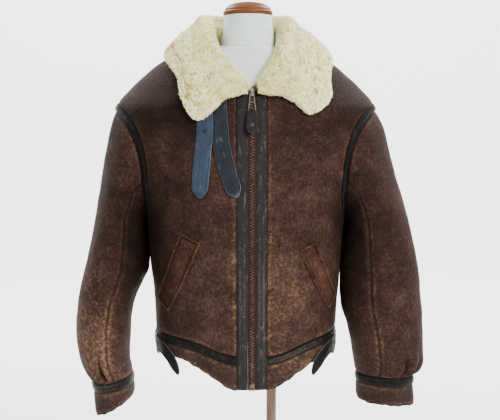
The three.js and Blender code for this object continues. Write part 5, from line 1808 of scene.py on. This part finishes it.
def sew_strap(line, place, sewing, radius):
    """Two rows of stitches along a strap, at a share of its half width but clear of its edges."""
    part = {key: values[2:-3] for key, values in line.items()}
    wide = np.minimum(place, 1 - 2.2 / np.maximum(part["width"] / 2, 3))
    for side in (-1, 1):
        angle, z = (values[:, 0] for values in strap_place(part, side * wide[:, None]))
        points = body_point(angle, z, part["off"] + STRAP_THICK + 0.1)
        sewing.add(*stitch_row(points, body_normal(angle, z), 4.2, 2.8, radius))


def make_strap(name, node, rows, look, side=1, lines=(0.82,), end_highlight=0.0, sewing=STITCHES, thread=0.36):
    """A strap along its middle line, sewn along both edges, and painted with a highlight that grows paler to
    its end by the given amount.
    """
    line = strap_line(rows, side)
    half, round_edge = np.array(STRAP_EDGE).T
    across = np.concatenate([-half[:0:-1], half])
    round_edge = np.concatenate([round_edge[:0:-1], round_edge])
    stitch_groove = sum(-0.22 * np.exp(-((np.abs(across) - place) / 0.05) ** 2) for place in lines)
    base, normals = strap_grid(line, across, 0.0)
    crown = 0.35 * (1 - across**2)
    uneven = 0.18 * lattice_noise(base, 9, 15)
    rise = STRAP_THICK + (round_edge + crown + stitch_groove)[None, :] + uneven
    outer = base + normals * rise[..., None]
    points, faces, looks = shell(outer, base, flip=True)
    made = piece(name, points, faces, (look, look), "black_leather", stands_for=(node,), face_looks=looks,
                 sharp=50)
    face_outward(made)
    # A painted highlight grows paler towards the strap's lower end
    painted_end_highlight = end_highlight * np.clip(np.linspace(-1.5, 1, len(outer)), 0, 1)[:, None]
    wear_and_painted_light = 1.05 * np.exp(-(edge_distance(outer) / 1.5) ** 2) + painted_end_highlight
    paint(made, "wear_and_painted_light", [wear_and_painted_light, wear_and_painted_light])
    for place in lines:
        sew_strap(line, place, sewing, thread)
    return line


EYELET_RADIUS = 3.0
EYELET_HOLE = 2.4


def eyelet_at(name, line, down, across=0.0):
    """A small metal ring sunk into a strap, some mm down from its top."""
    points, normals = (values[:, 0] for values in strap_grid(line, (across,), STRAP_THICK + 0.35))
    walked = walked_along(points)
    centre = picked(down, walked, points)
    normal = unit(picked(down, walked, normals))
    side = unit(np.cross(normal, (0, 0, 1.0)))
    up = np.cross(normal, side)
    turns = np.linspace(0, 2 * np.pi, 25)[:-1]
    ways = [math.cos(t) * side + math.sin(t) * up for t in turns]
    ring = Joined()
    ring.add(*tube([centre + EYELET_RADIUS * way for way in ways], 0.8, 8, True, normal))
    ring.make(name, DULL, "steel_zip")
    # Painted shade inside the strap's eyelet
    hole_shade = Joined()
    disc = [centre - normal * 0.15 + EYELET_HOLE * way for way in ways]
    hole_shade.add(*plug([disc, [point - normal * 0.5 for point in disc]]))
    hole_shade.make(name + "_hole_shade", HOLE_SHADE, "black_leather")


def make_straps():
    """The collar's two straps and, at each side of the waist, a band, its end and a buckle."""
    navy = dict(lines=(0.80, 0.22), sewing=Joined(), thread=0.52)
    line = make_strap("collar_strap_near", "collar_strap_a", COLLAR_STRAP_A, BLUE, **navy)
    eyelet_at("strap_near_eyelet", line, 48)
    line = make_strap("collar_strap_far", "collar_strap_b", COLLAR_STRAP_B, NIGHT, end_highlight=0.9, **navy)
    eyelet_at("strap_far_eyelet", line, 60, -0.1)
    navy["sewing"].make("strap_stitches", NAVY_THREAD, "black_leather")
    for side, name in ((-1, "left"), (1, "right")):
        make_strap(f"side_band_{name}", f"side_strap_{name}", SIDE_STRAP, BLACK, side=side, lines=(0.84,))
        make_strap(f"side_end_{name}", f"side_tongue_{name}", SIDE_TONGUE, BLACK, side=side, lines=(0.78,))
        make_buckle(name, side)


BUCKLE_ANGLE = 76.5
BUCKLE_Z = 756.0
BUCKLE_OFF = 2
BUCKLE_HALF_WIDTH = 12.2
BUCKLE_HALF_HEIGHT = 19.2
BUCKLE_CORNER = 4.2
BUCKLE_BAR = 1.75


def buckle_corners():
    """The frame's outline across and up, with rounded corners."""
    corners = []
    for x, z, start in ((1, 1, 0), (-1, 1, 90), (-1, -1, 180), (1, -1, 270)):
        for turn in range(start, start + 91, 18):
            t = math.radians(turn)
            corners.append((x * (BUCKLE_HALF_WIDTH - BUCKLE_CORNER) + BUCKLE_CORNER * math.cos(t),
                            z * (BUCKLE_HALF_HEIGHT - BUCKLE_CORNER) + BUCKLE_CORNER * math.sin(t)))
    return corners


def make_buckle(name, side):
    """A dark metal frame with a middle bar and a prong, on the side of the waist."""
    angle = side * BUCKLE_ANGLE
    normal = body_normal(angle, BUCKLE_Z)
    centre = body_point(angle, BUCKLE_Z, BUCKLE_OFF)
    up = unit(np.array([0, 0, 1.0]) - normal * normal[2])
    across = np.cross(up, normal)
    gathered = Joined()
    corners = buckle_corners()
    ring = []
    for k, (x0, z0) in enumerate(corners):
        x1, z1 = corners[(k + 1) % len(corners)]
        steps = max(1, int(math.hypot(x1 - x0, z1 - z0) / 3))
        for step in range(steps):
            x, h = mix(x0, x1, step / steps), mix(z0, z1, step / steps)
            ring.append(centre + across * x + up * h)
    gathered.add(*tube(ring, BUCKLE_BAR, 10, True, normal))
    heights = np.linspace(-BUCKLE_HALF_HEIGHT, BUCKLE_HALF_HEIGHT, 13)
    middle = [centre - across * 0.4 + up * height for height in heights]
    gathered.add(*tube(middle, 1.4, 8, False, normal))
    prong = [centre + across * x + normal * (1.9 + 1.1 * math.sin(math.pi * (x + 1) / 14))
             for x in np.linspace(-1.0, 13.0, 9)]
    gathered.add(*tube(prong, np.linspace(1.5, 1.0, 9), 8, False, up))
    gathered.make(f"buckle_{name}", IRON, "black_leather", stands_for=(f"side_buckle_{name}",))


WELT_ENDS = table(("name", "top_x", "top_z", "foot_x", "foot_z", "width"), (
    ("pocket_welt_left", -112.5, 989, -170, 850, 44),
    ("pocket_welt_right", 109, 972, 161, 852, 37),
))
WELT_STITCH_INSET = 6.4


def welt_path(away):
    """Rows and columns of a welt's grid, once round it, where its stitches lie."""
    rows, columns = away.shape
    i = int(np.argmin(np.abs(away[: rows // 2, columns // 2] - WELT_STITCH_INSET)))
    j = int(np.argmin(np.abs(away[rows // 2, : columns // 2] - WELT_STITCH_INSET)))
    low, far = rows - 1 - i, columns - 1 - j
    path = [(i, k) for k in range(j, far + 1)]
    path += [(k, far) for k in range(i, low + 1)]
    path += [(low, k) for k in range(far, j, -1)]
    path += [(k, j) for k in range(low, i, -1)]
    return path


def make_welt(name, top_x, top_z, foot_x, foot_z, width):
    """A pocket welt: a rounded rim, a groove inside it, and a slightly padded middle."""
    shares = np.arange(7) / 6
    line = strap_line([dict(x=mix(top_x, foot_x, share), z=mix(top_z, foot_z, share), width=width, off=0.9)
                       for share in shares])
    steps = np.arange(len(line["z"]))
    at = np.linspace(0, steps[-1], 120)
    line = {key: np.interp(at, steps, values) for key, values in line.items()}
    across = -1 + 2 * spaced(22, width, (0.5, 1.2, 2.2, 3.4, 4.6, 6))
    base, normals = strap_grid(line, across, 0.0)
    away = edge_distance(base)
    rim = 4.2 * np.exp(-((away - 2.2) / 1.4) ** 2)
    rise = 1.5 + rim - 1.5 * np.exp(-(away / 0.8) ** 2) + 0.9 * np.clip((away - 5) / 8, 0, 1)
    groove = -1.0 * np.exp(-((away - 4.9) / 1.0) ** 2)
    uneven = 0.35 * lattice_noise(base, 13, 16) * np.clip(away / 6, 0, 1)
    outer = base + normals * (rise + groove + uneven)[..., None]
    points, faces, looks = shell(outer, base, flip=True)
    made = piece(name + "_frame", points, faces, (WELT, WELT), "antiqued_skin", stands_for=(name,),
                 face_looks=looks, sharp=60)
    face_outward(made)
    # The rim is rubbed pale, and the groove inside it is darkened as painted shade
    chafed = 0.45 * np.exp(-((away - 2.4) / 1.2) ** 2) - 0.35 * np.exp(-((away - 5) / 1.2) ** 2)
    wear_with_painted_light = wear_and_painted_light_at(outer, normals) + chafed
    paint(made, "wear_and_painted_light", [wear_with_painted_light, wear_with_painted_light])
    i, j = np.array(welt_path(away)).T
    STITCHES.add(*stitch_row(outer[i, j], normals[i, j], 4.0, 2.6, 0.4))


def make_pockets():
    """The two welts, which lie at a slant."""
    for row in WELT_ENDS:
        make_welt(**row)


def sew_everything():
    """Stitch rows of the zip's strips and the waist tape."""
    heights = strip_heights()
    for side in (-1, 1):
        for place in (ZIP_TAPE_HALF + SEAM + 2.2, FACING_OUT - 2.2):
            x = np.full(len(heights), ZIP_X + side * place)
            sew_body(angle_at(x, heights), heights, 0.85)
    for name in ("left", "right", "back"):
        shares = np.linspace(0.004, 0.996, 160)[None, :]
        for up in (0.16, 0.84):
            angle, z = band_place(name, shares, waist_low_z, waist_top_z, np.array([up]))
            order = np.argsort(angle[0])
            sew_body(angle[0][order], z[0][order], 0.95)
    STITCHES.make("seam_stitches", THREAD, "black_leather")


# The dress form and its stand

def lathe(profile, x, sides=96):
    """Points and faces of a turned solid from radius and height pairs, standing at some x."""
    turns = 2 * np.pi * np.arange(sides) / sides
    rows = [[(x + r * math.cos(t), r * math.sin(t), z) for t in turns] for r, z in profile]
    return rows, bar_faces(len(rows), sides)


def rounded_profile(corners, radius=1.6, steps=3):
    """A profile with its corners eased."""
    eased = [corners[0]]
    for before, here, after in zip(corners, corners[1:], corners[2:]):
        here = np.array(here, float)
        back = np.array(before, float) - here
        on = np.array(after, float) - here
        cut = min(radius, np.linalg.norm(back) / 2.1, np.linalg.norm(on) / 2.1)
        start = here + back / np.linalg.norm(back) * cut
        end = here + on / np.linalg.norm(on) * cut
        for k in range(steps + 1):
            t = k / steps
            eased.append(tuple((1 - t) ** 2 * start + 2 * t * (1 - t) * here + t**2 * end))
    eased.append(corners[-1])
    return eased


FORM_RINGS = table(("z", "half_width", "front", "back", "x"), (
    (772, 150, 108, 102, BODY_X), (800, 156, 113, 107, BODY_X), (860, 157, 114, 108, BODY_X),
    (950, 168, 126, 120, BODY_X), (1050, 178, 134, 132, BODY_X), (1120, 184, 129, 136, BODY_X),
    (1180, 188, 118, 130, BODY_X), (1230, 190, 100, 119, BODY_X), (1265, 187, 84, 108, BODY_X),
    (1292, 184, 71, 96, BODY_X), (1308, 178, 65, 88, BODY_X), (1320, 165, 61, 80, BODY_X),
    (1331, 143, 56, 72, BODY_X), (1341, 94, 54.5, 66, BODY_X + 2), (1350, 68, 55, 60, BODY_X + 3.5),
    (1360, 55, 55, 55, NECK_X), (1390, 51.5, 51.5, 51.5, NECK_X), (1418, 48.5, 48.5, 48.5, NECK_X),
))
# Heights where the form's rows grow closer, at its shoulders, and wider again, on its neck
FORM_SHOULDER_Z = 1290
FORM_NECK_Z = 1372
NECK_SEAM_Z = 1361


def make_form():
    """The canvas torso, with a sewn line down its front and one round the root of its neck."""
    heights = np.unique(np.concatenate([
        np.linspace(FORM_RINGS[0]["z"], FORM_SHOULDER_Z, 30),
        np.linspace(FORM_SHOULDER_Z, FORM_NECK_Z, 56),
        np.linspace(FORM_NECK_Z, FORM_RINGS[-1]["z"], 16)]))
    turns = np.arange(0, 360, 4.0)
    columns = ("half_width", "front", "back", "x")
    value = {name: smooth(FORM_RINGS, "z", name)(heights)[:, None] for name in columns}
    square = np.clip(mix(2.25, 2, (heights - 1280) / 40), 2, 2.25)[:, None]
    turn = np.radians(turns)[None, :]
    depth = np.where(np.cos(turn) >= 0, value["front"], value["back"])
    across = np.abs(np.sin(turn)) / value["half_width"]
    along = np.abs(np.cos(turn)) / depth
    radius = (across**square + along**square) ** (-1 / square)
    z = heights[:, None] + 0 * turn
    # The sewn line at the root of the neck dips in front
    seam_z = NECK_SEAM_Z - 7 * np.cos(turn)
    inset = 1.0 + 1.6 * np.exp(-((z - seam_z) / 1.4) ** 2)
    inset += 0.8 * np.exp(-(turn_gap(turns[None, :], 0) / 2.0) ** 2) * (z < seam_z)
    radius = radius - inset
    points = np.stack([value["x"] + radius * np.sin(turn), -radius * np.cos(turn), z], axis=-1)
    points += 0.5 * lattice_noise(points, 30, 51)[..., None] * unit(points * (1, 1, 0) - (BODY_X, 0, 0))
    faces = bar_faces(len(heights), len(turns))
    made = piece("form_canvas", points, faces, (CANVAS,), "form_canvas", stands_for=("form_torso",))
    face_outward(made)


def make_stand():
    """The neck's wooden cap, the pole and the round base."""
    pole_x = (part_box("form_pole")[0][0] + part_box("form_pole")[1][0]) / 2 / MM
    cap = rounded_profile((
        (0.6, 1418.4), (48.3, 1418.4), (49.8, 1421), (49.9, 1425), (47.8, 1427.2), (46.2, 1427.8),
        (46.6, 1430), (43, 1434.6), (34, 1440.4), (22, 1443.6), (10, 1444.8), (0.6, 1445)), 1.2)
    turned("cap", cap, NECK_X, WOOD, "form_neck_cap")
    low, high = (corner[2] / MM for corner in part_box("form_pole"))
    pole = rounded_profile(((0.6, low), (10.4, low), (10.4, high), (0.6, high)), 0.8)
    turned("pole", pole, pole_x, POLE, "form_pole")
    base = rounded_profile((
        (0.6, 0), (196, 0), (199.8, 4), (199.8, 14), (190, 22), (130, 26.5), (70, 30), (44, 35.5),
        (34, 40), (28.6, 50), (26.5, 62), (0.6, 62)), 2.2)
    turned("base", base, pole_x, POLE, "form_base")


def turned(name, profile, x, look, node):
    """A turned piece of the stand."""
    points, faces = lathe(profile, x)
    made = piece(f"stand_{name}", points, faces, (look,), "stand_wood", stands_for=(node,), sharp=40)
    face_outward(made)


# The camera, the floor and the lights

CAMERA_PLACE = (0, -1.75, 1.24)
CAMERA_DOWN = 7
CAMERA_LENS = 61.49


def make_camera():
    """The camera at the photo's place and angle."""
    data = bpy.data.cameras.new("camera")
    data.lens = CAMERA_LENS
    data.sensor_width = 36
    camera = bpy.data.objects.new("camera", data)
    bpy.context.scene.collection.objects.link(camera)
    camera.location = CAMERA_PLACE
    camera.rotation_euler = (math.radians(90 - CAMERA_DOWN), 0, 0)
    bpy.context.scene.camera = camera


def make_stage():
    """A pale floor that curves up into a pale wall behind the object."""
    wide, front, back, high, bend = 9.0, -7.0, 5.8, 6.0, 1.4
    turns = np.linspace(0, math.pi / 2, 13)
    curve = [(back - bend + bend * math.sin(t), bend - bend * math.cos(t)) for t in turns]
    profile = [(front, 0.0), *curve, (back, high)]
    verts = [(x, y, z) for y, z in profile for x in (-wide, wide)]
    mesh = bpy.data.meshes.new("floor")
    mesh.from_pydata(verts, [], [(2 * k, 2 * k + 1, 2 * k + 3, 2 * k + 2) for k in range(len(profile) - 1)])
    mesh.materials.append(plain_look("pale_floor", (0.86, 0.86, 0.855), 0.9))
    mesh.shade_smooth()
    floor = bpy.data.objects.new("floor", mesh)
    bpy.context.scene.collection.objects.link(floor)


def make_light(name, place, aim, size, power, colour=(1, 1, 1)):
    """A soft lamp that stands at a place and shines at a point."""
    data = bpy.data.lights.new(name, "AREA")
    data.shape = "RECTANGLE"
    data.size, data.size_y = size
    data.energy = power
    data.color = colour
    lamp = bpy.data.objects.new(name, data)
    bpy.context.scene.collection.objects.link(lamp)
    lamp.location = place
    lamp.rotation_euler = (Vector(aim) - Vector(place)).to_track_quat("-Z", "Y").to_euler()


def make_lights():
    """A warm key, a cool fill, a lamp above, and two that light the wall."""
    make_light("key", (1.8, -2.4, 2.6), (0, 0, 1.05), (1.6, 1.4), 168, (1.0, 0.975, 0.94))
    make_light("fill", (-2.3, -2.3, 1.6), (0, 0, 1.0), (2.2, 2.2), 36, (0.94, 0.97, 1.0))
    make_light("top", (0, 0.1, 3.1), (0, 0, 1.1), (2.0, 1.4), 26)
    for side in (-1, 1):
        make_light(f"backdrop_{side}", (2.7 * side, 2.2, 3.9), (0.7 * side, 4.9, 0.2), (2.4, 1.2), 560)
    world = bpy.data.worlds.new("studio")
    world.use_nodes = True
    sky = world.node_tree.nodes["Background"]
    sky.inputs["Color"].default_value = (0.93, 0.96, 1.0, 1)
    sky.inputs["Strength"].default_value = 0.24
    bpy.context.scene.world = world


make_camera()
make_stage()
make_lights()
make_fronts()
make_back()
make_waist()
make_zip_strips()
make_teeth()
make_slider()
make_zip_box()
make_pull()
make_armhole_tapes()
make_sleeve(-1, "left", SLEEVE_LEFT, CUFF_LEFT)
make_sleeve(1, "right", SLEEVE_RIGHT, CUFF_RIGHT)
make_collar()
make_straps()
make_pockets()
sew_everything()
make_form()
make_stand()
